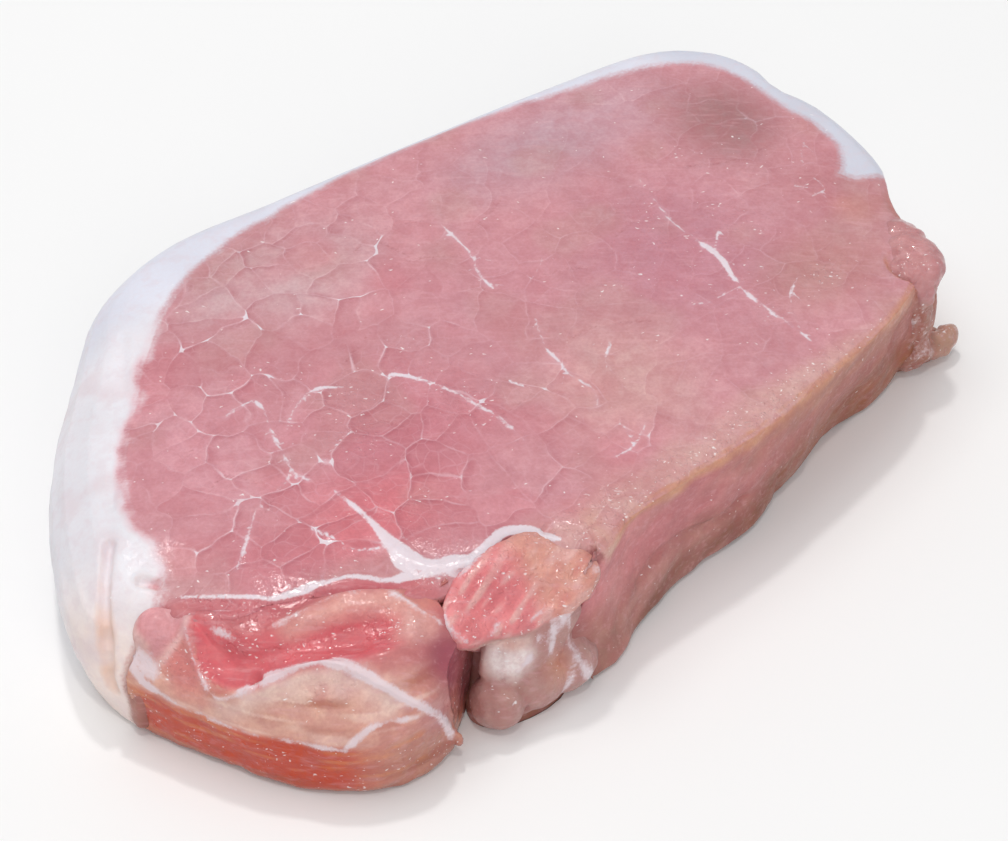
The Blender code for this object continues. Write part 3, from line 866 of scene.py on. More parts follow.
# ---------------------------------------------------------------- fat that grows by rule
def twigs_of(vein, dice):
    """Short side twigs of a vein, now on one side and now on the other."""
    curve = smooth_route(vein.route, 6)
    gone = TWIG_STEP * dice.uniform(0.3, 0.8)
    hand = dice.choice((-1, 1))
    twigs = []
    run = 0.0
    for start, end in zip(curve, curve[1:]):
        run += np.linalg.norm(end - start)
        if run < gone:
            continue
        gone += TWIG_STEP * dice.uniform(0.6, 1.5)
        hand = -hand
        way = (end - start) / np.linalg.norm(end - start)
        way = way * dice.uniform(0.2, 1.0) + hand * np.array((-way[1], way[0]))
        tip = start + way * dice.uniform(0.9, 2.6)
        twigs.append(Vein(vein.width * dice.uniform(0.25, 0.5), (tuple(start), tuple(tip))))
    return twigs


def draw_vein(at, vein, seed, white, halo):
    """Draws a vein that swells and thins along its way, and the soft pale halo round it."""
    reach = 2.2 * vein.width + HALO_BLUR
    gap, run, _ = along_route(at, vein.route, reach)
    near = gap < reach
    gap, run = gap[near], run[near]
    share = run / max(run.max(initial=0.1), 0.1)
    ends = ramp(1.0, 0.1, share)
    beads = 1 - 2 * share
    if len(vein.route) > 2:
        ends = ramp(0.0, 0.3, share) * ramp(1.0, 0.7, share)
        beads = lumps(np.column_stack([run, run * 0, run * 0]), 2.6, seed)
    width = 0.75 * vein.width * (0.5 + 0.5 * ends) * (0.32 + 0.85 * ramp(-0.15, 0.55, beads))
    line = np.clip(0.5 + (width - gap) / (2 * VEIN_BLUR), 0.0, 1.0)
    glow = np.clip(0.5 + (width - gap) / (2 * HALO_BLUR), 0.0, 1.0) * min(vein.width / 0.35, 1.0)
    white[near] = np.maximum(white[near], line)
    halo[near] = np.maximum(halo[near], glow)


def marbling_of(at):
    """The white veins of the cut face, and the soft pale halo round them."""
    dice = np.random.default_rng(7)
    veins = list(VEINS)
    for vein in VEINS:
        veins += twigs_of(vein, dice)
    white = np.zeros(len(at))
    halo = np.zeros(len(at))
    top = np.flatnonzero(at[:, 2] > 21.0)
    plan = at[top, :2]
    plan = plan + np.column_stack([0.5 * lumps(at[top], 3.4, 73 + axis) for axis in (0, 1)])
    plan = plan + np.column_stack([0.22 * lumps(at[top], 1.5, 75 + axis) for axis in (0, 1)])
    top_white, top_halo = white[top], halo[top]
    for seed, vein in enumerate(veins):
        draw_vein(plan, vein, 100 + seed, top_white, top_halo)
    white[top], halo[top] = top_white, top_halo
    return white, halo


def richness_of(at):
    """How rich in fat the corners between the bundles are: most along the rows."""
    rich = np.zeros(len(at))
    for row in ROWS:
        rich = np.maximum(rich, ridge(at, row, 4.0))
    for vein in VEINS:
        rich = np.maximum(rich, 0.8 * ridge(at, vein.route, 3.0))
    return rich


# ---------------------------------------------------------------- tinting
def distance_to(at, *nodes):
    """Distance of each point from some solids, followed as far as FAR."""
    skin = skin_of(*nodes)
    gaps = np.full(len(at), FAR)
    for index, place in enumerate(at * MM):
        found = skin.find_nearest(Vector(place), FAR * MM)[3]
        if found is not None:
            gaps[index] = found / MM
    return gaps


def mark_grain(clay, raggedness=1.0):
    """Stores the bent plan that the bundles follow, and the raggedness of every edge."""
    at = clay.at
    bent = np.zeros_like(at)
    for axis in (0, 1):
        bent[:, axis] = (at[:, axis] + 1.9 * lumps(at, 9.0, 71 + axis)
                         + 1.0 * lumps(at, 3.4, 73 + axis) + 0.35 * lumps(at, 1.5, 75 + axis))
    layer = clay.mesh.attributes.new("bent_plan", "FLOAT_VECTOR", "POINT")
    layer.data.foreach_set("vector", bent.astype(np.float32).ravel())
    clay.keep_number("ragged", raggedness * (0.7 * lumps(at, 2.6, 77) + 0.5 * lumps(at, 1.2, 78)))


def lay(tints, tint, share):
    """Lays a tint over the others."""
    tints += (np.array(tint) - tints) * np.clip(share, 0, 1)[:, None]


def lay_patches(tints, at, patches):
    """Lays a set of soft patches."""
    for patch in patches:
        lay(tints, patch.tint, soft_spot(at, patch.place, patch.reach) * patch.share)


def flat_tint(at, tint):
    """One tint for every point."""
    return np.tile(np.array(tint), (len(at), 1))


def below_of(at, route):
    """How far a point lies on the near side of a route across the face, in plan."""
    curve = smooth_route(route)
    order = np.argsort(curve[:, 0])
    return np.interp(at[:, 0], curve[order, 0], curve[order, 1]) - at[:, 1]


def wetness(at):
    """How wet each point is: the coat shines by it and painted glints crowd by it."""
    wet = np.full(len(at), 0.06)
    for place, reach, share in GLINTS:
        wet = np.maximum(wet, share * soft_spot(at, place, reach))
    return wet * (0.55 + 0.7 * ramp(-0.2, 0.5, lumps(at, 5.0, 49)))


def keep_looks(clay, lean, pale, white, raggedness=1.0, **numbers):
    """Stores all that the finish reads; what isn't given is nought, with no fat cap near."""
    mark_grain(clay, raggedness)
    clay.keep_tint("lean_tint", np.clip(lean, 0, 1))
    clay.keep_tint("fat_tint", np.clip(pale, 0, 1))
    clay.keep_number("white", white)
    none = np.zeros(len(clay.at))
    usual = {"fat_depth": none - 5.0, "fat_run": none, "feather": none, "halo": none,
             "marbling": none, "net": none, "rich": none, "dark": none, "wet": none}
    for name, values in {**usual, **numbers}.items():
        clay.keep_number(name, values)


def wall_of(at):
    """Tints of the side wall: mauve above, a dark tan below that is painted shade with a warm
    painted bounce light, browner to the right, under a pale film.
    """
    low = ramp(15.0, 4.0, at[:, 2] + 2.5 * lumps(at, 8.0, 41))
    right = ramp(5.0, 40.0, at[:, 0])
    wall = flat_tint(at, MAUVE)
    # painted shade with warm bounce light, laid low on the wall
    lay(wall, LOW_WALL_SHADE_AND_BOUNCE, low)
    lay(wall, BROWN, right * (0.55 + 0.45 * low))
    film = np.clip(0.2 + 0.5 * strands(at, (0.9, 0.3, 0.4), 2.4, 4.0, 54), 0, 1)
    lay(wall, WALL_PINK, film * (1 - 0.85 * right))
    wall *= (1 + 0.14 * ramp(14.0, -6.0, at[:, 0]))[:, None]
    under_rim = ramp(14.0, 19.0, at[:, 2] + 1.5 * lumps(at, 6.0, 58))
    lay(wall, RIM_TAN, 0.6 * ramp(5.0, 30.0, at[:, 0]) * under_rim)
    wall *= (1 + 0.14 * lumps(at, 3.0, 50) + 0.08 * lumps(at, 1.3, 51))[:, None]
    return wall


def slice_lean(clay, face, front, rim_gap):
    """Tints of the lean: blushes on the cut face, a paler rim in front, the side wall."""
    at = clay.at
    lean = flat_tint(at, LEAN)
    lay_patches(lean, at, FACE_PATCHES)
    lay(lean, PALE_BLUSH, 0.45 * ramp(0.05, 0.6, lumps(at, 8.0, 56)))
    lay(lean, RED_BLUSH, 0.35 * ramp(0.05, 0.6, lumps(at, 6.0, 57)) * ramp(20, -10, at[:, 0]))
    lean *= (1 + 0.05 * lumps(at, 12.0, 43) + 0.07 * lumps(at, 4.0, 44))[:, None]
    under_seam = ramp(-0.6, 1.2, below_of(at, LOWER_SEAM[:7])) * ramp(-30.0, -36.0, at[:, 0])
    lay(lean, SEAM_RED, face * under_seam)
    lay(lean, RIM_PINK, 0.7 * front * ramp(-8.0, -2.0, rim_gap + 1.5 * lumps(at, 5.0, 40)))
    turned_down = ramp(0.94, 0.72, clay.out[:, 2]) * ramp(-12.0, -5.0, at[:, 0])
    rim_height = at[:, 2] + 0.7 * lumps(at, 6.0, 45)
    lay(lean, RIM_ORANGE, 0.62 * front * turned_down * ramp(17.6, 20.6, rim_height))
    lay(lean, wall_of(at), ramp(21.3, 19.4, at[:, 2] + 0.9 * lumps(at, 4.0, 42)))
    lay(lean, RIDGE_CREAM, 0.8 * soft_line(at, PALE_RIDGE, 1.2))
    return lean


def slice_fat(at, up, left):
    """How deep each point lies in the fat cap, and the tints of the fat."""
    back = ramp(30.0, 40.0, at[:, 1])
    deep = distance_to(at, "loin_eye", "side_muscle") - distance_to(at, "fat_cap")
    deep -= 0.8 * back * ramp(50.0, 30.0, at[:, 0])
    deep += (0.25 + 0.75 * left) * (1.0 * lumps(at, 3.4, 46) + 0.4 * lumps(at, 1.3, 47))
    pale = flat_tint(at, FAT)
    heel = ramp(6.0, -10.0, at[:, 1]) * ramp(-55.0, -64.0, at[:, 0])
    lay(pale, HEEL_CREAM, 0.9 * heel * ramp(23.0, 14.0, at[:, 2]))
    lay(pale, BACK_FAT, (0.45 + 0.4 * up) * back)
    lay(pale, HOOK_FAT, 0.8 * up * ramp(58.0, 66.0, at[:, 0]))
    lay(pale, FAT_BLUSH, 0.85 * ramp(1.8, 0.0, deep) * left)
    lay(pale, FAT_SHADE, 0.5 * ramp(0.1, 0.7, lumps(at, 5.0, 52)) * left)
    pale *= (1 + 0.05 * lumps(at, 7.0, 48))[:, None]
    return deep, pale


def slice_darkness(at, face, pale):
    """Painted shade in the creases of the face and the wall, in the wall's pit and in the slits,
    whose edges also tint the fat.
    """
    dark = np.maximum(0.8 * ridge(at, WALL_CREASE, 1.3), soft_spot(at, WALL_PIT, (1.5, 2.0, 1.6)))
    for crease in CREASES:
        dark = np.maximum(dark, 0.42 * face * ridge(at, crease, 0.8))
    cap = ramp(-50.0, -60.0, at[:, 0])
    for slit in (SLIT, SMALL_SLIT):
        laid = laid_on("fat_cap", slit)
        dark = np.maximum(dark, 1.2 * cap * soft_line(at, laid, 0.5, 0.6))
        lay(pale, SLIT_EDGE, 0.8 * cap * soft_line(at, laid, 0.8, 1.0))
    return dark


def tint_chop_body(piece):
    """Tints, fat, veins and wetness of the slice."""
    clay = Clay(piece)
    at = clay.at
    up = clay.faces_up
    face = up * ramp(13.0, 17.0, at[:, 2])
    front = ramp(-10.0, -26.0, at[:, 1]) * ramp(-24.0, -14.0, at[:, 0])
    rim_gap = -(at[:, 1] + 38.0 - 0.10 * np.clip(at[:, 0] - 5.0, 0, 60))
    left = ramp(-34.0, -46.0, at[:, 0]) * ramp(-14.0, -8.0, at[:, 1])
    lean = slice_lean(clay, face, front, rim_gap)
    deep, pale = slice_fat(at, up, left)
    dark = slice_darkness(at, face, pale)

    white, halo = marbling_of(at)
    for route in (UPPER_SEAM, LOWER_SEAM, ARCH):
        white = np.maximum(white, soft_line(at, route))
    halo = np.maximum(halo, 0.9 * soft_line(at, UPPER_SEAM, 1.4))
    marbling = face * (0.35 + 0.65 * ramp(25.0, -20.0, at[:, 0]))
    rich = richness_of(at)
    net = marbling * np.maximum(0.35 + 0.65 * ramp(-0.3, 0.3, lumps(at, 9.0, 55)), rich)
    # wetness gives the coat its shine and also places the painted glints
    wet = wetness(at) + 0.7 * front * ramp(-7.0, -2.0, rim_gap) * up
    wet *= 1 - 0.8 * ramp(0.0, 1.5, deep)
    keep_looks(clay, lean, pale, face * white, fat_depth=deep, fat_run=at @ FAT_STRANDS,
               feather=0.3 + 0.6 * left, halo=face * halo, marbling=marbling, net=net, rich=rich,
               dark=dark, wet=np.clip(wet, 0, 1))


def side_lean(at):
    """Tints of the lobe: salmon above, an orange band below, browner to the right, with painted
    shade at its foot and in the cleft.
    """
    lean = flat_tint(at, SIDE_RED)
    height = at[:, 2] + 0.8 * lumps(at, 4.0, 60) + 0.3 * lumps(at, 1.5, 61)
    below_lip = ramp(19.5, 16.0, height)
    right = ramp(-56.0, -47.0, at[:, 0])
    broad = flow(at, LOBE_WAY, 1.7, 5.0, 62)
    fine = flow(at, LOBE_WAY, 0.7, 8.0, 68)
    lay(lean, SALMON, below_lip)
    lay(lean, LOBE_END, below_lip * right)
    lay(lean, LOBE_BROWN, 0.9 * below_lip * ramp(0.0, 0.6, broad))
    lay(lean, LOBE_CREAM, 0.8 * below_lip * ramp(0.1, 0.6, fine - 0.5 * broad))
    band = band_of(at)
    lay(lean, BAND_ORANGE, band * (1 - 0.85 * right))
    lay(lean, BAND_END, 0.8 * band * right)
    lay(lean, BAND_LIGHT, 0.55 * band * ramp(0.1, 0.6, fine))
    lay(lean, BAND_DEEP, 0.6 * band * ramp(0.1, 0.7, broad))
    # painted shade along the foot of the band, by the floor
    lay(lean, FOOT_PAINTED_SHADE, 0.6 * band * ramp(3.0, 0.6, at[:, 2]))
    lay_patches(lean, at, SIDE_PATCHES)
    return lean


def band_of(at):
    """Where the orange band runs, round the foot of the lobe."""
    return ramp(11.4, 9.6, at[:, 2] + 0.5 * lumps(at, 5.0, 63))


def lay_bowl(lean, at, fold):
    """Tints of the red bowl, of the folds beside it and of the small round muscle."""
    lip = laid_on("side_muscle", LIP)
    under_lip = [(x - 0.6, y - 1.0, z - 1.4, 1.6 * width) for x, y, z, width in lip]
    lay(lean, LIP_GLOW, 0.9 * soft_line(at, under_lip[6:18], 2.0))
    high = ramp(12.0, 14.0, at[:, 2])
    bowl = ramp(-0.8, 1.0, depth_in(at, BOWL, 5.0)) * high
    lay(lean, BOWL_RED, bowl)
    lay(lean, BOWL_DEEP, 0.7 * bowl * soft_spot(at, (-47, -32, 20), (6, 4, 6)))
    streaks = strands(at, (0.85, -0.5, 0), 1.2, 6.0, 65)
    lay(lean, BOWL_LIGHT, 0.3 * bowl * ramp(0.1, 0.6, streaks))
    below_fold = [(x - 0.8, y - 1.7, z, width) for x, y, z, width in fold[2:-2]]
    lay(lean, FOLD_GLOW, 0.9 * high * ridge(at, below_fold, 3.2, wide=True))
    lay(lean, FOLD_END, 0.8 * soft_spot(at, (-40, -37, 20), (3.4, 2.6, 4)))
    small = ramp(-0.4, 1.4, depth_in(at, SMALL_MUSCLE, 4.0)) * high
    lay(lean, SMALL_PINK, small)
    lay(lean, SMALL_RIM, 0.6 * high * ridge(at, SMALL_MUSCLE + SMALL_MUSCLE[:1], 0.9))


def tint_side_muscle(piece):
    """Red bowl, peach fold, white lip and orange band of the side muscle."""
    clay = Clay(piece)
    at = clay.at
    high = ramp(12.0, 14.0, at[:, 2])
    fold = laid_on("side_muscle", FOLD)
    lean = side_lean(at)
    lay_bowl(lean, at, fold)
    lean *= (1 + 0.07 * lumps(at, 3.0, 66) + 0.05 * lumps(at, 1.4, 67))[:, None]

    white = 0.65 * soft_spot(at, *FUZZY_SPOT)
    for route, swell, share in ((LIP, 0.9, 0.9), (OUTER_LINE, 1.1, 0.85), (BRANCH_LINE, 1.1, 0.9),
                                (CURL, 1.2, 0.8)):
        laid = laid_on("side_muscle", route)
        white = np.maximum(white, share * soft_line(at, laid, 0.7, swell))
    white = np.maximum(white, 0.7 * soft_line(at, fold, 0.9, 0.8))
    white = np.maximum(white, 0.85 * soft_line(at, WHITE_BLOB, 0.8, 1.3))
    white = np.maximum(white, high * soft_line(at, LOWER_SEAM))
    # painted shade in the heel crease and in the pit of the curl
    dark = 0.8 * ridge(at, HEEL_CREASE, 0.9)
    dark = np.maximum(dark, 0.8 * soft_spot(at, CURL_PIT, (0.9, 0.9, 1.4)))
    wet = np.maximum(wetness(at), 0.5 * band_of(at))
    keep_looks(clay, lean, flat_tint(at, SIDE_FILM), white, 1.1, dark=dark, wet=wet,
               halo=0.9 * soft_line(at, laid_on("side_muscle", LIP), 2.0))


def tint_hanging_trim(piece):
    """Tints of the tongue, the strip and the chunk."""
    clay = Clay(piece)
    at = clay.at
    tongue = ramp(15.2, 16.2, at[:, 2])
    low = ramp(17.0, 16.0, at[:, 2])
    lean = flat_tint(at, CHUNK_TINT)
    lay(lean, KNOB_TINT, soft_spot(at, (-30, -45, 4), (5, 5, 6)))
    lay(lean, CHUNK_ORANGE, 0.8 * soft_spot(at, (-22, -45, 7), (3, 3, 3.5)))
    streaky = 0.5 + 0.5 * strands(at, (0.1, 0.2, 1.0), 1.0, 5.0, 81)
    lay(lean, CHUNK_STREAK, 0.45 * streaky)
    strip = soft_spot(at, (-28, -43, 12), (3.6, 3, 4)) * ramp(15.8, 14.6, at[:, 2])
    lay(lean, STRIP_CREAM, 1.5 * strip)
    lay(lean, STRIP_TOP, strip * ramp(12.5, 14.5, at[:, 2]))
    lay(lean, TONGUE_RED, tongue)
    lay(lean, FOLD_PEACH, tongue * ramp(-24.5, -20.0, at[:, 0]))
    lay(lean, TONGUE_DEEP, tongue * 0.7 * soft_spot(at, (-28, -37.5, 19.5), (4, 3, 4)))
    fibre = strands(at, (0.9, 0.4, 0.1), 0.9, 7.0, 82)
    lay(lean, TONGUE_FIBRE, 0.75 * tongue * ramp(0.0, 0.7, fibre))
    lay(lean, TONGUE_DARK, 0.35 * tongue * ramp(-0.1, -0.7, fibre))
    lean *= (1 + 0.08 * lumps(at, 2.2, 83))[:, None]

    white = np.zeros(len(at))
    for line in TONGUE_LINES:
        white = np.maximum(white, 0.58 * soft_line(at, line, 0.7, 1.2))
    for streak in FRONT_STREAKS:
        white = np.maximum(white, low * (0.50 + 0.55 * streaky) * soft_line(at[:, ::2], streak, 1.1))
    # painted shade in the knob's crease, along the chunk's groove and in one spot below the tongue
    dark = np.maximum(0.9 * ridge(at, KNOB_CREASE, 1.0), 0.5 * ridge(at, CHUNK_GROOVE, 0.9))
    dark = np.maximum(dark, soft_spot(at, (-23.9, -42.6, 14.7), (0.8, 1.5, 0.9)))
    wet = np.maximum(0.7 * tongue, 0.3)
    keep_looks(clay, lean, flat_tint(at, TRIM_FILM), white, 1.5, dark=dark, wet=wet,
               halo=white)


def tint_folded_scrap(piece):
    """Tints of the folded scrap."""
    clay = Clay(piece)
    at = clay.at
    lean = flat_tint(at, SCRAP_BROWN)
    lay(lean, SCRAP_TOP, ramp(14.0, 18.0, at[:, 2] + 1.0 * lumps(at, 3.0, 54)))
    lay(lean, SCRAP_FOOT, ramp(64.0, 68.0, at[:, 0]) * ramp(9.0, 5.0, at[:, 2]))
    lean *= (1 + 0.12 * lumps(at, 2.4, 53))[:, None]
    # painted shade in the scrap's creases
    dark = np.zeros(len(at))
    for crease in SCRAP_CREASES:
        dark = np.maximum(dark, 0.8 * ridge(at, crease, 0.9))
    white = (0.34 + 0.22 * lumps(at, 2.5, 51)) * ramp(19.5, 16.5, at[:, 2])
    keep_looks(clay, lean, flat_tint(at, SCRAP_FILM), white, dark=dark,
               wet=np.full(len(at), 0.5))


# ---------------------------------------------------------------- the meat finish
class Recipe:
    """A material being put together from nodes."""

    def __init__(self, name):
        self.material = bpy.data.materials.new(name)
        self.material.use_nodes = True
        self.tree = self.material.node_tree
        self.shader = self.tree.nodes["Principled BSDF"]

    def plug(self, socket, value):
        """Gives a socket a constant or links another one to it."""
        if isinstance(value, bpy.types.NodeSocket):
            self.tree.links.new(value, socket)
        elif socket.type == "RGBA":
            socket.default_value = (*value, 1.0)
        else:
            socket.default_value = value

    def add(self, kind, **settings):
        """A new node with its settings."""
        node = self.tree.nodes.new("ShaderNode" + kind)
        for name, value in settings.items():
            setattr(node, name, value)
        return node

    def kept(self, name, tint=False):
        """A number or a colour stored on the mesh."""
        node = self.add("Attribute", attribute_type="GEOMETRY", attribute_name=name)
        return node.outputs["Color" if tint else "Fac"]

    def stored_vector(self, name):
        """A vector stored on the mesh."""
        node = self.add("Attribute", attribute_type="GEOMETRY", attribute_name=name)
        return node.outputs["Vector"]

    def maths(self, operation, a, b):
        """One sum."""
        node = self.add("Math", operation=operation)
        self.plug(node.inputs[0], a)
        self.plug(node.inputs[1], b)
        return node.outputs[0]

    def times(self, a, b):
        """Two numbers multiplied."""
        return self.maths("MULTIPLY", a, b)

    def plus(self, a, b):
        """Two numbers added."""
        return self.maths("ADD", a, b)

    def fit(self, value, low, high, to_low=0.0, to_high=1.0):
        """Eases a value from one range into another."""
        node = self.add("MapRange", interpolation_type="SMOOTHSTEP")
        self.plug(node.inputs["Value"], value)
        self.plug(node.inputs["From Min"], low)
        self.plug(node.inputs["From Max"], high)
        self.plug(node.inputs["To Min"], to_low)
        self.plug(node.inputs["To Max"], to_high)
        return node.outputs["Result"]

    def mingle(self, share, a, b, how="MIX"):
        """Mixes two colours."""
        node = self.add("Mix", data_type="RGBA", blend_type=how, clamp_factor=True)
        self.plug(node.inputs[0], share)
        self.plug(node.inputs[6], a)
        self.plug(node.inputs[7], b)
        return node.outputs[2]

    def vectors(self, operation, a, b):
        """One sum of vectors."""
        node = self.add("VectorMath", operation=operation)
        self.plug(node.inputs[0], a)
        self.plug(node.inputs[1], b)
        return node.outputs[0]

    def cloud(self, place, size, detail=2.0, rough=0.5):
        """Noise whose lumps are about the given size."""
        node = self.add("TexNoise")
        self.plug(node.inputs["Vector"], place)
        node.inputs["Scale"].default_value = 1.0 / size
        node.inputs["Detail"].default_value = detail
        node.inputs["Roughness"].default_value = rough
        return node.outputs["Fac"]

    def shifts(self, place, size):
        """Small shifts in all directions, to bend a pattern with."""
        node = self.add("TexNoise")
        self.plug(node.inputs["Vector"], place)
        node.inputs["Scale"].default_value = 1.0 / size
        node.inputs["Detail"].default_value = 0.0
        return node.outputs["Color"]

    def drawn_out(self, place, scale):
        """A place drawn out along the fine fibres."""
        node = self.add("Mapping", vector_type="TEXTURE")
        self.plug(node.inputs["Vector"], place)
        node.inputs["Rotation"].default_value = (0, 0, radians(FIBRE_TURN))
        node.inputs["Scale"].default_value = scale
        return node.outputs[0]

    def cells(self, place, size, feature, dimensions="2D"):
        """A net of cells of about the given size, in plan unless told otherwise."""
        node = self.add("TexVoronoi", feature=feature, voronoi_dimensions=dimensions)
        self.plug(node.inputs["Vector"], place)
        node.inputs["Scale"].default_value = 1.0 / size
        return node


BUNDLE = 6.4            # usual breadth of a bundle of fibres
SMALL_BUNDLE = 2.5
CORNER = 0.3            # how far the fat reaches out of the corners between bundles
GLINT_DOT_STEP = 0.6              # usual distance from one painted glint to the next
GLINT_DOT_SMEAR = (1.7, 0.9, 0.9)
FIBRE_TURN = -36.0      # degrees that the fine fibres turn from +X
FIBRE_STRETCH = (5.0, 1.0, 1.0)


def noises(mix):
    """The noises that the whole finish shares, and the place in millimetres they follow."""
    place = mix.add("TexCoord").outputs["Object"]
    place = mix.vectors("MULTIPLY", place, (1 / MM, 1 / MM, 1 / MM))
    grain = mix.cloud(place, 0.5, 2.0, 0.6)
    fine = mix.maths("SUBTRACT", grain, 0.5)
    rough_edge = mix.plus(mix.times(mix.kept("ragged"), 0.18), mix.times(fine, 0.50))
    return SimpleNamespace(
        place=place, grain=grain, fine=fine, rough_edge=rough_edge,
        mottle=mix.cloud(place, 2.4, 2.0, 0.6), beads=mix.cloud(place, 0.75, 1.0, 0.5),
        fibre=mix.cloud(mix.drawn_out(place, FIBRE_STRETCH), 0.9, 2.0, 0.6))


def bundle_net(mix):
    """The bundles of fibres: their edges and corners, their own tones, and the side of each that
    gets painted shade.
    """
    bent = mix.stored_vector("bent_plan")
    bundle = mix.cells(bent, BUNDLE, "F1")
    rounded = mix.cells(bent, BUNDLE, "SMOOTH_F1")
    rounded.inputs["Smoothness"].default_value = 2 * CORNER
    corner = mix.maths("SUBTRACT", bundle.outputs["Distance"], rounded.outputs["Distance"])
    offset = mix.vectors("SUBTRACT", bent, bundle.outputs["Position"])
    slope = mix.add("VectorMath", operation="DOT_PRODUCT")
    mix.plug(slope.inputs[0], offset)
    # the way across a bundle from its side with painted shade to its lit side
    mix.plug(slope.inputs[1], (-0.06, 0.15, 0.0))
    tone = mix.add("SeparateColor")
    mix.plug(tone.inputs[0], bundle.outputs["Color"])
    return SimpleNamespace(
        edge=mix.cells(bent, BUNDLE, "DISTANCE_TO_EDGE").outputs["Distance"],
        small_edge=mix.cells(bent, SMALL_BUNDLE, "DISTANCE_TO_EDGE").outputs["Distance"],
        corner=mix.fit(corner, 0.26 * CORNER, 0.35 * CORNER), tone=tone.outputs[0],
        shaded=mix.fit(slope.outputs["Value"], -0.15, 0.35),
        shown=mix.times(mix.fit(mix.kept("ragged"), -0.40, 0.30, 0.35, 1.0), mix.kept("net")))


def lean_of(mix, noise, net, dark):
    """Lean meat: its stored tint, mottled and fibrous, its bundles parted by pale lines, with
    painted shade inside one edge of each bundle and in the creases.
    """
    lean = mix.kept("lean_tint", tint=True)
    lean = mix.mingle(mix.fit(noise.grain, 0.25, 0.75, 0.0, 0.18), lean, GRAIN_DARK)
    lean = mix.mingle(mix.fit(noise.mottle, 0.35, 0.65, 0.22, 0.0), lean, MOTTLE_DARK)
    lean = mix.mingle(mix.fit(noise.fibre, 0.50, 0.75, 0.0, 0.22), lean, FIBRE_PALE)
    tone = mix.times(mix.fit(net.tone, 0.0, 1.0, 0.0, 0.34), mix.kept("marbling"))
    lean = mix.mingle(tone, lean, BUNDLE_DARK)
    # painted shade: a dark band inside the edge on the shaded side of each bundle
    shadow = mix.times(mix.fit(net.edge, 0.24, 0.02), mix.times(net.shown, net.shaded))
    lean = mix.mingle(mix.times(shadow, 0.45), lean, EDGE_PAINTED_SHADE)
    line = mix.fit(mix.plus(net.edge, mix.times(noise.fine, 0.03)), 0.05, 0.0)
    # the pale lines are fat between the bundles, drawn stronger on the lit side as painted light
    lit = mix.fit(mix.maths("SUBTRACT", 1.0, net.shaded), 0.0, 1.0, 0.45, 1.0)
    line = mix.times(mix.times(line, net.shown), lit)
    line = mix.times(line, mix.fit(mix.kept("rich"), 0.0, 1.0, 0.36, 0.76))
    lean = mix.mingle(line, lean, EDGE_PALE)
    small_line = mix.times(mix.fit(net.small_edge, 0.07, 0.01), net.shown)
    lean = mix.mingle(mix.times(small_line, 0.15), lean, SMALL_EDGE_PALE)
    halo = mix.fit(mix.plus(mix.kept("halo"), noise.rough_edge), 0.25, 0.95)
    lean = mix.mingle(mix.times(halo, 0.50), lean, HALO_PINK)
    # painted shade in creases and pits
    return mix.mingle(mix.times(dark, 0.60), lean, LEAN_PAINTED_SHADE)


def fat_of(mix, noise, dark):
    """Fat: where it lies, with an edge that feathers along its strands, and its colour, darkened by
    painted shade in creases and slits.
    """
    strand_place = mix.add("CombineXYZ")
    mix.plug(strand_place.inputs[0], mix.times(mix.kept("fat_run"), 2.2))
    mix.plug(strand_place.inputs[1], mix.times(mix.kept("fat_depth"), 0.5))
    strand = mix.cloud(strand_place.outputs[0], 1.0, 2.0, 0.6)
    feather = mix.times(mix.maths("SUBTRACT", strand, 0.5), mix.kept("feather"))
    depth = mix.plus(mix.kept("fat_depth"), feather)
    share = mix.fit(mix.plus(depth, noise.fine), -0.7, 0.9)
    pale = mix.kept("fat_tint", tint=True)
    pale = mix.mingle(mix.fit(noise.grain, 0.3, 0.8, 0.0, 0.10), pale, FAT_GRAIN)
    pale = mix.mingle(mix.fit(noise.mottle, 0.45, 0.70, 0.0, 0.22), pale, FAT_MOTTLE)
    return share, mix.mingle(mix.times(dark, 0.80), pale, FAT_PAINTED_SHADE)


def veins_of(mix, noise, net):
    """Where the stored white veins lie, and the white stars in the corners of the bundles."""
    star = mix.times(net.corner, mix.kept("net"))
    star = mix.times(star, mix.fit(mix.kept("rich"), 0.0, 0.7, 0.50, 1.25))
    white = mix.maths("MAXIMUM", mix.kept("white"), mix.times(star, 0.9))
    return mix.fit(mix.plus(white, noise.rough_edge), 0.34, 0.72)


def painted_glints_of(mix, noise):
    """Painted glints: small white dots laid into the colour, in crowds where the meat is wet."""
    shifted = mix.vectors("ADD", noise.place, mix.shifts(noise.place, 0.9))
    glint_dots = mix.cells(mix.drawn_out(shifted, GLINT_DOT_SMEAR), GLINT_DOT_STEP, "F1", "3D")
    luck = mix.add("SeparateColor")
    mix.plug(luck.inputs[0], glint_dots.outputs["Color"])
    crowd = mix.fit(mix.cloud(noise.place, 3.0, 1.0), 0.44, 0.60, 0.06, 1.5)
    chosen = mix.maths("GREATER_THAN", mix.times(mix.kept("wet"), crowd), luck.outputs[0])
    glint_dot = mix.fit(glint_dots.outputs["Distance"], mix.fit(luck.outputs[1], 0.2, 1.0, 0.14, 0.40), 0.06)
    return mix.times(glint_dot, chosen)


def relief_of(mix, noise, net):
    """Fine relief in millimetres: sunk edges of bundles, grain, mottle and wet beads."""
    sunk = mix.times(mix.times(mix.fit(net.edge, 0.12, 0.0), mix.kept("marbling")), -0.02)
    height = mix.plus(sunk, mix.times(noise.fine, 0.04))
    height = mix.plus(height, mix.times(noise.mottle, 0.06))
    glint = mix.times(mix.fit(noise.beads, 0.52, 0.74), mix.kept("wet"))
    height = mix.plus(height, mix.times(glint, 0.12))
    bump = mix.add("Bump")
    bump.inputs["Strength"].default_value = 1.0
    bump.inputs["Distance"].default_value = MM
    mix.plug(bump.inputs["Height"], height)
    return bump.outputs[0]


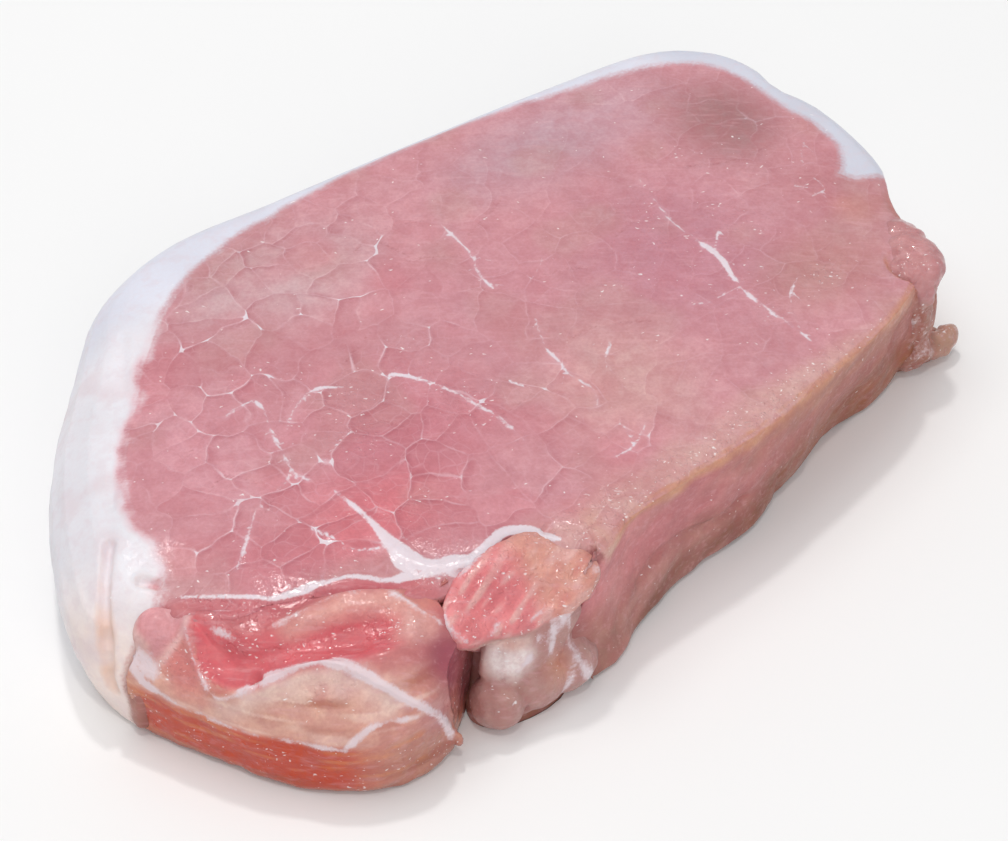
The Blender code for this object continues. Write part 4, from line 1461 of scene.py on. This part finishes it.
def meat_finish(name):
    """Moist raw meat: tinted lean, bundles and veins, fat with a feathered edge, a wet coat, painted
    shade in creases and along bundle edges, and painted glints.
    """
    mix = Recipe(name)
    noise = noises(mix)
    net = bundle_net(mix)
    # painted shade of creases and pits, stored on the mesh, with ragged edges
    dark = mix.fit(mix.plus(mix.kept("dark"), noise.rough_edge), 0.25, 0.85)
    fat, pale = fat_of(mix, noise, dark)
    vein_tone = mix.mingle(0.55, pale, VEIN_FAT)
    colour = mix.mingle(mix.times(veins_of(mix, noise, net), 0.80),
                        lean_of(mix, noise, net, dark), vein_tone)
    colour = mix.mingle(fat, colour, pale)
    # painted glints: white dots mixed into the base colour
    colour = mix.mingle(mix.times(painted_glints_of(mix, noise), 0.75), colour, PAINTED_GLINT)

    shader = mix.shader
    mix.plug(shader.inputs["Base Color"], colour)
    mix.plug(shader.inputs["Roughness"], mix.fit(noise.grain, 0.3, 0.7, 0.36, 0.50))
    shader.subsurface_method = "BURLEY"
    shader.inputs["Subsurface Weight"].default_value = 0.2
    shader.inputs["Subsurface Radius"].default_value = (1.0, 0.4, 0.25)
    shader.inputs["Subsurface Scale"].default_value = 2.0 * MM
    shader.inputs["Specular IOR Level"].default_value = 0.2
    gloss = mix.fit(mix.kept("wet"), 0.0, 0.7, 0.28, 0.85)
    mix.plug(shader.inputs["Coat Weight"], mix.times(gloss, mix.fit(fat, 0.0, 1.0, 1.0, 0.4)))
    shader.inputs["Coat Roughness"].default_value = 0.08
    shader.inputs["Coat IOR"].default_value = 1.36
    relief = relief_of(mix, noise, net)
    mix.plug(shader.inputs["Normal"], relief)
    mix.plug(shader.inputs["Coat Normal"], relief)
    return mix.material


# ---------------------------------------------------------------- stage, light, camera
CAMERA_TURN = 36.0      # degrees that the view turns from +Y towards +X
CAMERA_RISE = 45.0
CAMERA_REACH = 460.0
CAMERA_AIM = (-1.2, -4.7, 11.0)
CAMERA_LENS = 110.7
FLOOR_SIZE = 6.0        # metres
WORLD_LIGHT = 0.5
# Lamps: name, turn, rise, distance and size in metres, watts, colour.
LAMPS = (
    ("overhead", -30.0, 72.0, 1.1, 0.7, 2.9, (1.0, 0.985, 0.96)),
    ("glint", 24.0, 69.0, 1.2, 0.08, 2.6, (1.0, 0.98, 0.95)),
    ("front_glint", -150.0, 72.0, 1.2, 0.06, 1.6, (1.0, 0.98, 0.95)),
    ("front_fill", -160.0, 35.0, 1.2, 0.8, 2.6, (1.0, 0.97, 0.94)),
)


def direction(turn, rise):
    """A unit vector by its turn from +Y towards +X and its rise over the floor, in degrees."""
    turn, rise = radians(turn), radians(rise)
    return Vector((sin(turn) * cos(rise), cos(turn) * cos(rise), sin(rise)))


def aim(thing, place, target):
    """Puts a light or camera in place and points it at the target."""
    thing.location = place
    thing.rotation_euler = (target - place).to_track_quat("-Z", "Y").to_euler()


def add_lamp(name, turn, rise, reach, size, power, colour):
    """A square soft light aimed at the slice."""
    lamp = bpy.data.lights.new(name, "AREA")
    lamp.shape = "SQUARE"
    lamp.size = size
    lamp.energy = power
    lamp.color = colour
    thing = bpy.data.objects.new(name, lamp)
    bpy.context.scene.collection.objects.link(thing)
    aim(thing, direction(turn, rise) * reach, Vector((0, 0, 0.01)))


def set_stage():
    """Pale floor, soft studio light and the camera."""
    bpy.ops.object.select_all(action="DESELECT")
    bpy.ops.mesh.primitive_plane_add(size=FLOOR_SIZE, location=(0, 0, 0))
    floor = bpy.context.object
    floor.name = "floor"
    paint = Recipe("pale_floor")
    speckle = paint.cloud(paint.add("TexCoord").outputs["Object"], 0.05, 2.0)
    tone = paint.mingle(speckle, (0.90, 0.90, 0.90), (0.92, 0.92, 0.92))
    paint.plug(paint.shader.inputs["Base Color"], tone)
    paint.shader.inputs["Roughness"].default_value = 0.7
    floor.data.materials.append(paint.material)

    world = bpy.data.worlds.new("studio")
    world.use_nodes = True
    back = world.node_tree.nodes["Background"]
    back.inputs["Color"].default_value = (0.95, 0.97, 1.0, 1.0)
    back.inputs["Strength"].default_value = WORLD_LIGHT
    bpy.context.scene.world = world
    bpy.context.scene.view_settings.view_transform = "Standard"

    for lamp in LAMPS:
        add_lamp(*lamp)

    eye = bpy.data.cameras.new("camera")
    eye.lens = CAMERA_LENS
    camera = bpy.data.objects.new("camera", eye)
    bpy.context.scene.collection.objects.link(camera)
    target = Vector(CAMERA_AIM) * MM
    back_off = direction(CAMERA_TURN, -CAMERA_RISE) * CAMERA_REACH * MM
    aim(camera, target - back_off, target)
    bpy.context.scene.camera = camera


# ---------------------------------------------------------------- putting it together
def dress(piece, material, slot, *nodes):
    """Gives a piece its finish and its place on the model."""
    piece.data.materials.clear()
    piece.data.materials.append(material)
    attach(piece, BODY)
    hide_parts(*nodes)


def build():
    """Makes, tints and dresses every piece."""
    meat = meat_finish("cut_meat")
    body = make_chop_body()
    tint_chop_body(body)
    dress(body, meat, "lean_meat", "loin_eye", "fat_cap")
    side = make_side_muscle()
    tint_side_muscle(side)
    dress(side, meat, "red_meat", "side_muscle")
    trim = make_hanging_trim()
    tint_hanging_trim(trim)
    dress(trim, meat, "trim_meat", "trim_flap")
    scrap = make_folded_scrap()
    tint_folded_scrap(scrap)
    dress(scrap, meat, "trim_meat", "tail_end")
    set_stage()


build()
